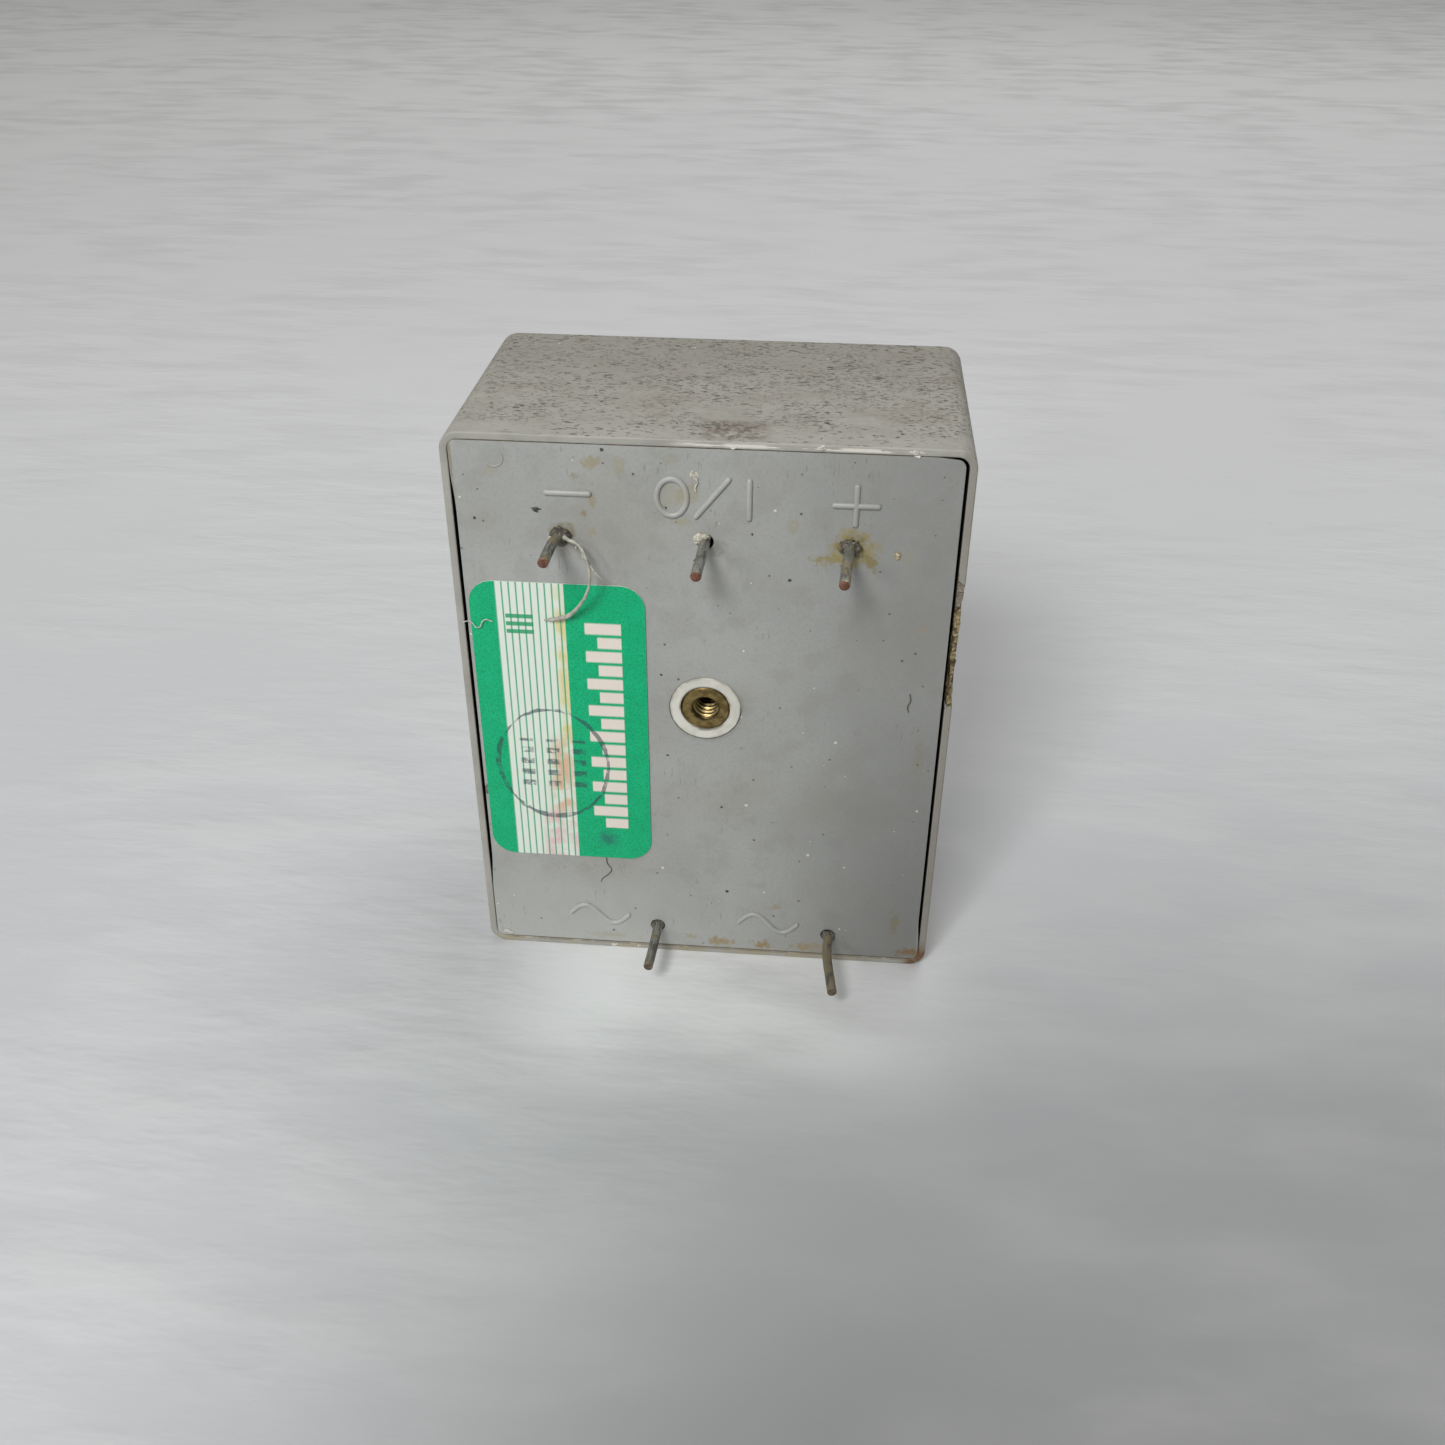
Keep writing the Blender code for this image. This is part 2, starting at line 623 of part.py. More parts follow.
COUPLER_SPOT = (0, 40.4 * MM)
HALF_WATT, QUARTER_WATT = (9.0 * MM, 1.6 * MM), (6.2 * MM, 1.15 * MM)
COMPONENTS = [
    Upright(
        "snubber_capacitor", (-13.0 * MM, 9.9 * MM), film_block,
        [(-5.0 * MM, 0, 1.0 * MM), (5.0 * MM, 0, 1.0 * MM)], "capacitor_film",
    ),
    Axial("snubber_resistor", (-12.5 * MM, 16.4 * MM), 0, 10.0 * MM, 1.9 * MM, "resistor_enamel"),
    Axial("gate_resistor", (-7.6 * MM, 25.2 * MM), 2, *QUARTER_WATT, "resistor_enamel"),
    Axial("bias_resistor", (-12.0 * MM, 25.2 * MM), 2, *QUARTER_WATT, "resistor_enamel"),
    Axial("timing_resistor", (-16.4 * MM, 25.2 * MM), 2, *QUARTER_WATT, "resistor_enamel"),
    Axial("input_resistor", (-4.6 * MM, 52.0 * MM), 0, *HALF_WATT, "resistor_enamel"),
    Axial("input_diode", (8.2 * MM, 52.0 * MM), 0, 5.2 * MM, 1.35 * MM, "moulded_epoxy"),
    Axial(
        "zener_diode", (-9.2 * MM, 38.4 * MM), 2, 3.9 * MM, 0.95 * MM, "glass_body",
        lead=0.25 * MM,
    ),
    Upright(
        "line_varistor", (17.4 * MM, 24.0 * MM), varistor_disc,
        [(0, -2.5 * MM, 3.0 * MM), (0, 2.5 * MM, 3.0 * MM)], "ceramic_coating",
    ),
    Upright(
        "bypass_capacitor", (-16.0 * MM, 40.5 * MM), ceramic_disc,
        [(-1.9 * MM, 0, 3.0 * MM), (1.9 * MM, 0, 3.0 * MM)], "resistor_enamel",
    ),
    Upright(
        "timing_capacitor", (15.8 * MM, 36.0 * MM), capacitor_can,
        [(-1.75 * MM, 0, 1.0 * MM), (1.75 * MM, 0, 1.0 * MM)], "capacitor_sleeve",
    ),
    Upright(
        "control_transistor", (8.6 * MM, 43.2 * MM), transistor_body,
        [(step * 1.6 * MM, 0, 3.5 * MM) for step in (-1, 0, 1)], "moulded_epoxy",
        lead=0.22 * MM,
    ),
]


def rivet_hole(middle):
    """The cutter for a rivet's hole."""
    reach = 2 * MM
    corners = [(0, -reach), (RIVET_HOLE_RADIUS, -reach), (RIVET_HOLE_RADIUS, reach), (0, reach)]
    shape = turned(corners, 20, 2)
    bmesh.ops.translate(shape, vec=middle, verts=shape.verts)
    return shape


def make_triac(board):
    """The triac in its package: plastic body, metal tab and three flat leads."""
    body_middle = TAB_Z + TAB_THICKNESS + TIGHT_GAP + TRIAC_BODY.z / 2
    body = box(TRIAC_BODY, corner=0.4 * MM, along=1, steps=1)
    body_thing = add(
        "triac_body", body, "moulded_epoxy",
        (TRIAC_X, TRIAC_BODY_Y + TRIAC_BODY.y / 2, body_middle), board,
    )
    tab = box(
        (TRIAC_WIDTH, TAB_LENGTH, TAB_THICKNESS), (0, TAB_LENGTH / 2, 0), 0.5 * MM, along=2, steps=2,
    )
    tab_low = TRIAC_BODY_Y + 0.3 * MM
    tab_thing = add(
        "triac_tab", tab, "aluminium", (TRIAC_X, tab_low, TAB_Z + TAB_THICKNESS / 2), board,
    )
    cut(tab_thing, rivet_hole((0, RIVET_Y - tab_low, 0)))
    foot = -BOARD_THICKNESS - LEAD_STICKS_OUT
    length = TRIAC_BODY_Y - TIGHT_GAP - foot
    things = [body_thing, tab_thing]
    for side, name in ((-1, "main_1"), (0, "main_2"), (1, "gate")):
        size = TRIAC_LEAD_SIZE + Vector((0, length, 0))
        place = (TRIAC_X + side * TRIAC_LEAD_PITCH, foot + length / 2, TRIAC_LEAD_Z)
        things.append(add(f"triac_lead_{name}", box(size), "tinned_copper", place, board))
    return things


def triac_lead_spots():
    """The (x, z) of the triac's leads on the board."""
    return [(TRIAC_X + side * TRIAC_LEAD_PITCH, TRIAC_LEAD_Z) for side in (-1, 0, 1)]


def make_spreader(board):
    """The bent aluminium plate behind the triac's tab, and the rivet that holds them together."""
    leg_high = TAB_Z - CAST_GAP
    leg_low = leg_high - SPREADER_THICKNESS
    top = RESIN_BACK_Y - BOARD_BACK_Y
    bottom = TRIAC_BODY_Y + 1.0 * MM
    low_x, high_x = TRIAC_X - SPREADER_WIDTH / 2, TRIAC_X + SPREADER_WIDTH / 2
    spreader = add(
        "heat_spreader", box_between((low_x, bottom, leg_low), (high_x, top, leg_high)),
        "aluminium", parent=board,
    )
    join(spreader, box_between(
        (low_x, top - SPREADER_THICKNESS, leg_low), (high_x, top, leg_low + SPREADER_LENGTH),
    ))
    cut(spreader, rivet_hole((TRIAC_X, RIVET_Y, leg_low + SPREADER_THICKNESS / 2)))
    low = leg_low - TIGHT_GAP
    high = TAB_Z + TAB_THICKNESS + TIGHT_GAP
    dome = RIVET_HEAD_RADIUS * 0.6
    rivet = turned([
        (0, low - RIVET_HEAD_HEIGHT), (dome, low - RIVET_HEAD_HEIGHT),
        (RIVET_HEAD_RADIUS, low - RIVET_HEAD_HEIGHT / 2), (RIVET_HEAD_RADIUS, low),
        (RIVET_RADIUS, low), (RIVET_RADIUS, high), (RIVET_HEAD_RADIUS, high),
        (RIVET_HEAD_RADIUS, high + RIVET_HEAD_HEIGHT / 2), (dome, high + RIVET_HEAD_HEIGHT),
        (0, high + RIVET_HEAD_HEIGHT),
    ], 16, 2)
    return [spreader, add("tab_rivet", rivet, "aluminium", (TRIAC_X, RIVET_Y, 0), board)]


def make_solder(spots):
    """A cone of solder round each pin, on the side of the board that faces the base plate."""
    face = BOARD_FACE_Y - TIGHT_GAP
    inner = PIN_RADIUS + TIGHT_GAP
    for name, (x, z) in spots.items():
        cone = turned([
            (inner, face), (SOLDER_RADIUS, face), (SOLDER_RADIUS * 0.6, face - SOLDER_HEIGHT * 0.5),
            (inner + 0.12 * MM, face - SOLDER_HEIGHT), (inner, face - SOLDER_HEIGHT),
        ], 12)
        add(name.replace("pin", "solder"), cone, "solder", (x, 0, z))


def make_board(pin_spots, lead_spots):
    """The circuit board, with a hole for each pin and lead and for the sleeve."""
    height = BOARD_HIGH_Z - BOARD_LOW_Z
    middle = (0, BOARD_FACE_Y + BOARD_THICKNESS / 2, BOARD_LOW_Z + height / 2)
    board = add(
        "circuit_board", box((BOARD_WIDTH, BOARD_THICKNESS, height), middle), "board_laminate",
    )
    front, back = BOARD_FACE_Y - CAST_GAP, BOARD_BACK_Y + CAST_GAP
    cut(board, rods(pin_spots, PIN_HOLE_RADIUS, front, back, PIN_SIDES))
    cut(board, rods([(0, INSERT_Z)], SLEEVE_RADIUS + CAST_GAP, front, back, ROUND_SIDES))
    cut(board, rods(lead_spots, LEAD_RADIUS + LEAD_PLAY, front, back, LEAD_SIDES))
    cut(board, rods(triac_lead_spots(), TRIAC_HOLE_RADIUS, front, back, PIN_SIDES))
    return board


def make_resin(inner_parts, pin_spots):
    """The cast block with a pocket for everything on the board, and the layer under the base plate."""
    width, height = CASE_WIDTH - 2 * RESIN_MARGIN, CASE_HEIGHT - 2 * RESIN_MARGIN
    depth = RESIN_BACK_Y - RESIN_FRONT_Y
    middle = (0, RESIN_FRONT_Y + depth / 2, CASE_HEIGHT / 2)
    corner = CASE_CORNER - RESIN_MARGIN
    block = add(
        "resin_block", box((width, depth, height), middle, corner, along=1, steps=2), "resin",
    )
    pockets = bpy.data.collections.new("resin_pockets")
    bpy.context.scene.collection.children.link(pockets)

    def pocket(name, low, high):
        cutter = helper(f"pocket_{name}", box_between(low, high))
        bpy.context.scene.collection.objects.unlink(cutter)
        pockets.objects.link(cutter)

    play = Vector((CAST_GAP, CAST_GAP, CAST_GAP))
    half_board = BOARD_WIDTH / 2
    pocket(
        "circuit_board",
        Vector((-half_board, RESIN_FRONT_Y - CAST_GAP, BOARD_LOW_Z)) - play,
        Vector((half_board, BOARD_BACK_Y, BOARD_HIGH_Z)) + play,
    )
    bpy.context.view_layer.update()
    for part in inner_parts:
        low, high = world_box(part)
        low.y = BOARD_BACK_Y
        pocket(part.name, low - play, high + play)
    modifier = block.modifiers.new("Pockets", "BOOLEAN")
    modifier.operation = "DIFFERENCE"
    modifier.solver = "EXACT"
    modifier.operand_type = "COLLECTION"
    modifier.collection = pockets

    cover = add("resin_cover", box_between(
        (-half_board, RESIN_FRONT_Y, BOARD_LOW_Z), (half_board, COVER_BACK_Y, BOARD_HIGH_Z),
    ), "resin")
    front, back = RESIN_FRONT_Y - CAST_GAP, COVER_BACK_Y + CAST_GAP
    cut(cover, rods(pin_spots, PIN_RADIUS + CAST_GAP, front, back, PIN_SIDES))
    cut(cover, rods([(0, INSERT_Z)], SLEEVE_RADIUS + CAST_GAP, front, back, ROUND_SIDES))


def clear_scene():
    """Removes whatever the scene holds."""
    for thing in list(bpy.data.objects):
        bpy.data.objects.remove(thing)


def main():
    clear_scene()
    pin_spots = {name: root for name, (root, _) in PINS.items()}
    make_case()
    make_base_plate(list(pin_spots.values()))
    inner_parts = make_pins() + [make_insert()]
    make_label()

    board_back = bpy.data.objects.new("board_back", None)
    board_back.location = (0, BOARD_BACK_Y, 0)
    bpy.context.scene.collection.objects.link(board_back)
    inner_parts += [component.make(board_back) for component in COMPONENTS]
    inner_parts.append(make_optocoupler(board_back))
    inner_parts += make_triac(board_back) + make_spreader(board_back)

    lead_spots = [spot for component in COMPONENTS for spot in component.lead_spots()]
    for path in coupler_legs():
        lead_spots.append((COUPLER_SPOT[0] + path[-1][0], COUPLER_SPOT[1] + path[-1][2]))
    make_board(list(pin_spots.values()), lead_spots)
    make_solder(pin_spots)
    make_resin(inner_parts, list(pin_spots.values()))


main()
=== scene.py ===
"""Looks of a potted solid state relay that has seen use, standing on its load pins' end.

The moulded case, its base plate, the wire pins, the insert and the label are modelled again here
over their CAD solids, with the dirt, glue and damage that they carry. The pieces cast inside keep
their CAD solids and get their finishes. Sizes are in millimetres, and MM turns them into metres.
Every pattern is laid out in millimetres of the object's own frame.
"""

from __future__ import annotations

import json
import logging
import math
import random
from abc import ABC, abstractmethod
from collections.abc import Iterable, Sequence
from dataclasses import dataclass
from enum import Enum

import bmesh
import bpy
from mathutils import Matrix, Vector, noise


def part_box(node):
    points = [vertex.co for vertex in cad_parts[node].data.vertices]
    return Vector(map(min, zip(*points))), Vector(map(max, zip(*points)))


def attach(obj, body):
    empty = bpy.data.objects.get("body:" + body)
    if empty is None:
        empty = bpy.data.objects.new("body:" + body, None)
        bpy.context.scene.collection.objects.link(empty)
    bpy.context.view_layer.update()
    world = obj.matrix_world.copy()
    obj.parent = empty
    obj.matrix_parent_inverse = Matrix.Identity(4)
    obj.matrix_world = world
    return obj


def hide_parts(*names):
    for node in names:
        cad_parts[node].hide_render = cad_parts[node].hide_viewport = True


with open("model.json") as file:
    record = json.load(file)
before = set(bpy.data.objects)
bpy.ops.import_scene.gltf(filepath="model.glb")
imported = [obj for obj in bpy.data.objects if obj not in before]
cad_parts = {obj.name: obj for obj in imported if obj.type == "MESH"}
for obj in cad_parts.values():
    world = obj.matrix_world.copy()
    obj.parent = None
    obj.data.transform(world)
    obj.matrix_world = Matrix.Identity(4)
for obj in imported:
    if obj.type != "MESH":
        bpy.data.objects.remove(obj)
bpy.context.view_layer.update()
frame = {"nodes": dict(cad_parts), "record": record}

LOG = logging.getLogger("relay")
MM = 0.001
BODY = "root"

Shape = bmesh.types.BMesh
Socket = bpy.types.NodeSocket
Thing = bpy.types.Object
Place = tuple[float, float]
Point = tuple[float, float, float]


class Axis(Enum):
    """A direction of the object's frame."""

    X = 0
    Y = 1
    Z = 2


def mount_y(name: str) -> float:
    """How far along Y one of the record's mounts lies.

    Args:
        name: the mount's name.
    Returns:
        Its y, in millimetres.
    """
    found = next(m for m in frame["record"]["mounts"] if m["name"] == name)
    return found["pos_m"][Axis.Y.value] / MM


FACE_Y = mount_y("board_face")


# ---------------------------------------------------------------------------------------------
# Materials


def linear(hex_colour: str) -> tuple[float, float, float, float]:
    """The linear colour of an sRGB hex value.

    Args:
        hex_colour: the colour, such as "#9A9C98".
    Returns:
        Red, green, blue and an alpha of 1.
    """
    channels = [int(hex_colour[i : i + 2], 16) / 255 for i in (1, 3, 5)]
    red, green, blue = (
        c / 12.92 if c <= 0.04045 else ((c + 0.055) / 1.055) ** 2.4 for c in channels
    )
    return red, green, blue, 1.0


class Look:
    """A material's node tree, with the patterns that finishes are made of.

    All patterns read the piece's Object coordinates, in millimetres. A mask is a socket that goes
    from 0 to 1.
    """

    def __init__(self, name: str) -> None:
        """Starts a material on a Principled shader.

        Args:
            name: the material's name.
        """
        self.material = bpy.data.materials.new(name)
        self.material.use_nodes = True
        self.tree = self.material.node_tree
        self.shader = self.tree.nodes["Principled BSDF"]
        metres = self.add("TexCoord", out="Object")
        self.place = self.add(
            "VectorMath", {0: metres, "Scale": 1 / MM}, operation="SCALE"
        )
        self.axes = {
            axis: self.add("SeparateXYZ", {0: self.place}, out=axis.value) for axis in Axis
        }

    def add(
        self, kind: str, inputs: dict | None = None, out: int | str = 0, **settings: object
    ) -> Socket:
        """Adds a shader node.

        Args:
            kind: the node's type, without its ShaderNode prefix.
            inputs: for each input's name or number, a value or the socket that feeds it.
            out: which output to give back.
            settings: the node's own properties.
        Returns:
            That output.
        """
        node = self.tree.nodes.new("ShaderNode" + kind)
        for key, value in settings.items():
            setattr(node, key, value)
        for key, value in (inputs or {}).items():
            if isinstance(value, bpy.types.NodeSocket):
                self.tree.links.new(value, node.inputs[key])
            else:
                node.inputs[key].default_value = value
        return node.outputs[out]

    def cloud(
        self,
        size: float,
        low: float = 0.4,
        high: float = 0.6,
        detail: float = 3.0,
        stretch: Point = (1, 1, 1),
        shift: float = 0.0,
    ) -> Socket:
        """A mask of soft, irregular patches.

        Args:
            size: the patches' size in millimetres.
            low: noise below this gives 0.
            high: noise above this gives 1.
            detail: how many finer octaves are added.
            stretch: how much longer the patches are along each axis.
            shift: moves the pattern, so that two masks of one size differ.
        Returns:
            The mask.
        """
        scale = [1 / (size * s) for s in stretch]
        place = self.add(
            "Mapping",
            {"Vector": self.place, "Location": (shift, -shift, shift / 2), "Scale": scale},
        )
        value = self.add("TexNoise", {"Vector": place, "Scale": 1.0, "Detail": detail})
        return self.add(
            "MapRange",
            {"Value": value, "From Min": low, "From Max": high},
            interpolation_type="SMOOTHSTEP",
        )

    def grains(
        self,
        cell: float,
        radius: float,
        share: float,
        stretch: Point = (1, 1, 1),
        shift: float = 0.0,
    ) -> Socket:
        """A mask of scattered specks of mixed sizes.

        Args:
            cell: the mean distance between places where a speck may be, in millimetres.
            radius: the largest speck's radius, in millimetres.
            share: the share of places that hold one.
            stretch: how much longer the specks are along each axis.
            shift: moves the pattern.
        Returns:
            The mask.
        """
        scale = [1 / (cell * s) for s in stretch]
        place = self.add(
            "Mapping",
            {"Vector": self.place, "Location": (shift, shift / 3, -shift), "Scale": scale},
        )
        ragged = self.add(
            "TexNoise", {"Vector": place, "Scale": cell / radius, "Detail": 1.0}, out=1
        )
        place = self.add(
            "VectorMath",
            {0: ragged, 1: (0.6 * radius / cell,) * 3, 2: place},
            operation="MULTIPLY_ADD",
        )
        cells = self.add("TexVoronoi", {"Vector": place, "Scale": 1.0}).node
        chance = self.add("SeparateColor", {0: cells.outputs["Color"]}).node
        edge = self.add(
            "Math", {0: chance.outputs[0], 1: radius / cell}, operation="MULTIPLY"
        )
        inside = self.add(
            "Math", {0: cells.outputs["Distance"], 1: edge}, operation="LESS_THAN"
        )
        kept = self.add("Math", {0: chance.outputs[1], 1: share}, operation="LESS_THAN")
        return self.both(inside, kept)

    def zone(self, axis: Axis, low: float, high: float, soft: float = 0.2) -> Socket:
        """A mask between two places along an axis.

        Args:
            axis: the axis.
            low: where it starts, in millimetres.
            high: where it ends.
            soft: the width over which it fades.
        Returns:
            The mask.
        """
        half = soft / 2
        ends = [
            self.add(
                "MapRange",
                {"Value": self.axes[axis], "From Min": start, "From Max": end},
                interpolation_type="SMOOTHSTEP",
            )
            for start, end in ((low - half, low + half), (high + half, high - half))
        ]
        return self.both(*ends)

    def oval(self, x: float, z: float, wide: float = 1.0, high: float = 1.0) -> Socket:
        """A place as seen from the middle of an oval that lies across Y.

        Args:
            x: the oval's middle.
            z: the oval's middle.
            wide: its half width, in millimetres.
            high: its half height.
        Returns:
            The place, as a vector that is 1 long all along the oval.
        """
        return self.add(
            "Mapping",
            {
                "Vector": self.place,
                "Location": (-x / wide, 0, -z / high),
                "Scale": (1 / wide, 0, 1 / high),
            },
        )

    def reach(self, place: Socket) -> Socket:
        """How long a vector is."""
        return self.add("VectorMath", {0: place}, out="Value", operation="LENGTH")

    def spot(
        self, x: float, z: float, wide: float, high: float, ragged: float = 0.35, soft: float = 0.5
    ) -> Socket:
        """A mask of one oval stain on the base plate's plane.

        Args:
            x: its middle.
            z: its middle.
            wide: its half width, in millimetres.
            high: its half height.
            ragged: how uneven its edge is, as a share of its size.
            soft: how much of its size it fades over.
        Returns:
            The mask.
        """
        reach = self.reach(self.oval(x, z, wide, high))
        uneven = self.add(
            "TexNoise", {"Vector": self.place, "Scale": 1.6 / min(wide, high), "Detail": 3.0}
        )
        reach = self.add(
            "Math", {0: uneven, 1: 4 * ragged, 2: reach}, operation="MULTIPLY_ADD"
        )
        # The noise lies round 0.5, so it adds 2 * ragged in the mean.
        limit = 1 + 2 * ragged
        return self.add(
            "MapRange",
            {"Value": reach, "From Min": limit, "From Max": limit - soft},
            interpolation_type="SMOOTHSTEP",
        )

    def both(self, *masks: Socket | float) -> Socket:
        """The mask where all of these hold.

        Args:
            masks: the masks, of which all but the first may be plain strengths.
        Returns:
            Their product.
        """
        result = masks[0]
        for mask in masks[1:]:
            result = self.add("Math", {0: result, 1: mask}, operation="MULTIPLY")
        return result

    def either(self, *masks: Socket) -> Socket:
        """The mask where any of these holds.

        Args:
            masks: the masks.
        Returns:
            The highest of them.
        """
        result = masks[0]
        for mask in masks[1:]:
            result = self.add("Math", {0: result, 1: mask}, operation="MAXIMUM")
        return result

    def without(self, mask: Socket, hole: Socket) -> Socket:
        """The mask, less the places where another holds."""
        rest = self.add("Math", {0: 1.0, 1: hole}, operation="SUBTRACT")
        return self.both(mask, rest)

    def layers(self, base: str | float, over: Iterable[tuple[Socket, str | float]]) -> Socket:
        """Colours or numbers laid over each other.

        Args:
            base: the lowest, a hex colour or a number.
            over: a mask and what it lays on, from the lowest to the top.
        Returns:
            The result.
        """
        coloured = isinstance(base, str)
        kind, first, second, out = ("RGBA", 6, 7, 2) if coloured else ("FLOAT", 2, 3, 0)
        result = linear(base) if coloured else base
        for mask, top in over:
            top = linear(top) if coloured else top
            result = self.add(
                "Mix", {0: mask, first: result, second: top}, out=out, data_type=kind
            )
        return result

    def relief(self, parts: Iterable[tuple[Socket, float]]) -> None:
        """Raises or sinks the surface where the masks hold.

        Args:
            parts: a mask and its height in millimetres, below 0 for a pit.
        """
        height: Socket | float = 0.0
        for mask, rise in parts:
            height = self.add(
                "Math", {0: mask, 1: rise, 2: height}, operation="MULTIPLY_ADD"
            )
        bump = self.add("Bump", {"Strength": 1.0, "Distance": MM, "Height": height})
        self.tree.links.new(bump, self.shader.inputs["Normal"])

    def dress(self, colour: Socket, roughness: Socket, **fixed: float) -> None:
        """Feeds the shader.

        Args:
            colour: the base colour.
            roughness: the roughness.
            fixed: values that are the same all over, by the socket's name with _ for a space.
        """
        self.tree.links.new(colour, self.shader.inputs["Base Color"])
        self.tree.links.new(roughness, self.shader.inputs["Roughness"])
        for name, value in fixed.items():
            self.shader.inputs[name.replace("_", " ")].default_value = value


@dataclass(frozen=True)
class Finish(ABC):
    """A real material and how its surface was made."""

    name: str
    slot: str

    @abstractmethod
    def paint(self, look: Look) -> None:
        """Lays the finish on a material's nodes."""

    def material(self) -> bpy.types.Material:
        """The material of this finish, made the first time that it is asked for.

        Returns:
            The material.
        """
        made = bpy.data.materials.get(f"{self.name}_finish")
        if made is None:
            look = Look(f"{self.name}_finish")
            self.paint(look)
            made = look.material
        return made


@dataclass(frozen=True)
class Stain:
    """A stain on the base plate: its middle, half width and half height in millimetres."""

    x: float
    z: float
    wide: float
    high: float
    colour: str
    strength: float = 1.0
    ragged: float = 0.35
    soft: float = 0.5


def stain_layers(look: Look, stains: Iterable[Stain]) -> list[tuple[Socket, str]]:
    """The stains as layers of colour.

    Args:
        look: the material that they go on.
        stains: the stains.
    Returns:
        A mask and a colour for each.
    """
    film = look.layers(1.0, [(look.cloud(0.6, 0.45, 0.65, 3, shift=9.0), 0.45)])
    found = []
    for s in stains:
        mask = look.spot(s.x, s.z, s.wide, s.high, s.ragged, s.soft)
        found.append((look.both(mask, s.strength, film), s.colour))
    return found


@dataclass(frozen=True)
class MouldedCaseGrey(Finish):
    """Grey phenolic moulding: a dull, close-grained skin that holds dust and dark scuffs."""

    base: str = "#A3A29B"
    pale: str = "#ACABA5"
    dusty: str = "#8F8D84"
    settled: str = "#828078"
    soiled: str = "#776A60"
    brown: str = "#85776C"
    streak: str = "#4E483F"
    speck: str = "#37322C"
    scuff: str = "#DAD7CE"
    broken: str = "#807153"
    broken_dark: str = "#453924"
    broken_pale: str = "#A59671"
    broken_skin: str = "#88847A"
    amber: str = "#A3946A"
    seam: str = "#6A5C3E"
    rust: str = "#6E4E2E"
    right_rim_shade: str = "#7E7A70"
    groove_shade: str = "#16130F"
    top_z: float = 57.15
    mouth_y: float = -13.8
    back_y: float = 13.8
    chip: Place = (31.9, 45.9)

    def paint(self, look: Look) -> None:
        """Dust on top, crinkled scuffs along X, a stained foot and a raw break in the rim.

        Args:
            look: the material.
        """
        front = look.zone(Axis.Y, self.mouth_y - 1, self.mouth_y + 0.08, 0.08)
        top = look.without(look.zone(Axis.Z, self.top_z - 1.0, self.top_z + 1, 1.2), front)
        foot = look.zone(Axis.Z, -1, 0.75, 0.4)
        rim = look.zone(Axis.Y, self.mouth_y - 1, self.mouth_y + 0.55, 0.3)
        lower_right = look.both(look.zone(Axis.Z, -1, 2.6, 2), look.zone(Axis.X, 20.9, 24, 1.2))
        mottle = look.cloud(7.0, 0.35, 0.7, 4)
        dust = look.cloud(2.6, 0.38, 0.62, 5, (1.5, 1, 1), shift=6.6)
        patches = look.both(look.cloud(5.5, 0.54, 0.68, 4, (1.4, 1, 1), shift=9.1), top)
        worn = look.cloud(5.0, 0.36, 0.56, 3, (1.6, 1, 1), shift=3.1)
        # Scuffs are 0.8 mm long and a fifth as wide, and lie along X.
        streaks = look.both(look.cloud(0.34, 0.6, 0.65, 4, (2.0, 0.8, 0.8), shift=5.0), worn, top)
        near_rim = look.zone(Axis.Y, self.mouth_y - 1, self.mouth_y + 2.6, 2.4)
        rubbed = look.both(
            look.zone(Axis.X, -0.3, 4.9, 2), look.zone(Axis.Y, self.mouth_y + 0.6, -9.4, 1.6), top
        )
        fine = look.both(look.cloud(0.26, 0.54, 0.64, 3, (1.7, 1, 1), shift=1.3), top)
        fine = look.without(fine, look.both(near_rim, 0.8))
        fine = look.without(fine, look.both(look.cloud(7.5, 0.45, 0.6, 2, shift=2.7), 0.7))
        pits = look.both(look.grains(1.0, 0.2, 0.5, (1.7, 1, 1)), worn, top)
        pits_few = look.grains(2.6, 0.25, 0.4, shift=8.0)
        flecks = look.grains(2.6, 0.2, 0.3, shift=4.0)
        edge = look.both(look.zone(Axis.Z, self.top_z - 0.5, self.top_z - 0.2, 0.2), rim)
        knocks = look.either(look.zone(Axis.X, 1.6, 5.2, 0.8), look.zone(Axis.X, 11.4, 15.6, 0.8))
        scuffs = look.both(
            look.either(
                look.both(
                    look.cloud(0.7, 0.56, 0.62, 3, (4.5, 0.7, 0.5), shift=2.2),
                    look.zone(Axis.X, -2, 19, 4),
                ),
                look.both(knocks, look.cloud(0.9, 0.3, 0.42, 3, (3, 1, 1), shift=6.4)),
            ),
            edge,
        )
        rim_grime = look.both(look.cloud(1.6, 0.48, 0.66, 4, (2.2, 1, 2.2), shift=6.0), rim)
        # Dirt draws a line along the rim's inner edge.
        inner = look.either(
            look.zone(Axis.Z, 0.52, 0.9, 0.12),
            look.zone(Axis.Z, self.top_z - 0.9, self.top_z - 0.6, 0.1),
        )
        line = look.both(
            inner, rim, look.zone(Axis.X, -21, 21, 1.5), look.cloud(1.1, 0.36, 0.5, 3, shift=4.4)
        )
        # The break shows everything inside the case's own outline, between the chip's two ends.
        raw = look.both(
            look.zone(Axis.Z, self.chip[0], self.chip[1], 0.1),
            look.zone(Axis.Y, self.mouth_y + 0.03, self.mouth_y + 2.2, 0.05),
            look.zone(Axis.X, 22.12, 22.83, 0.03),
        )
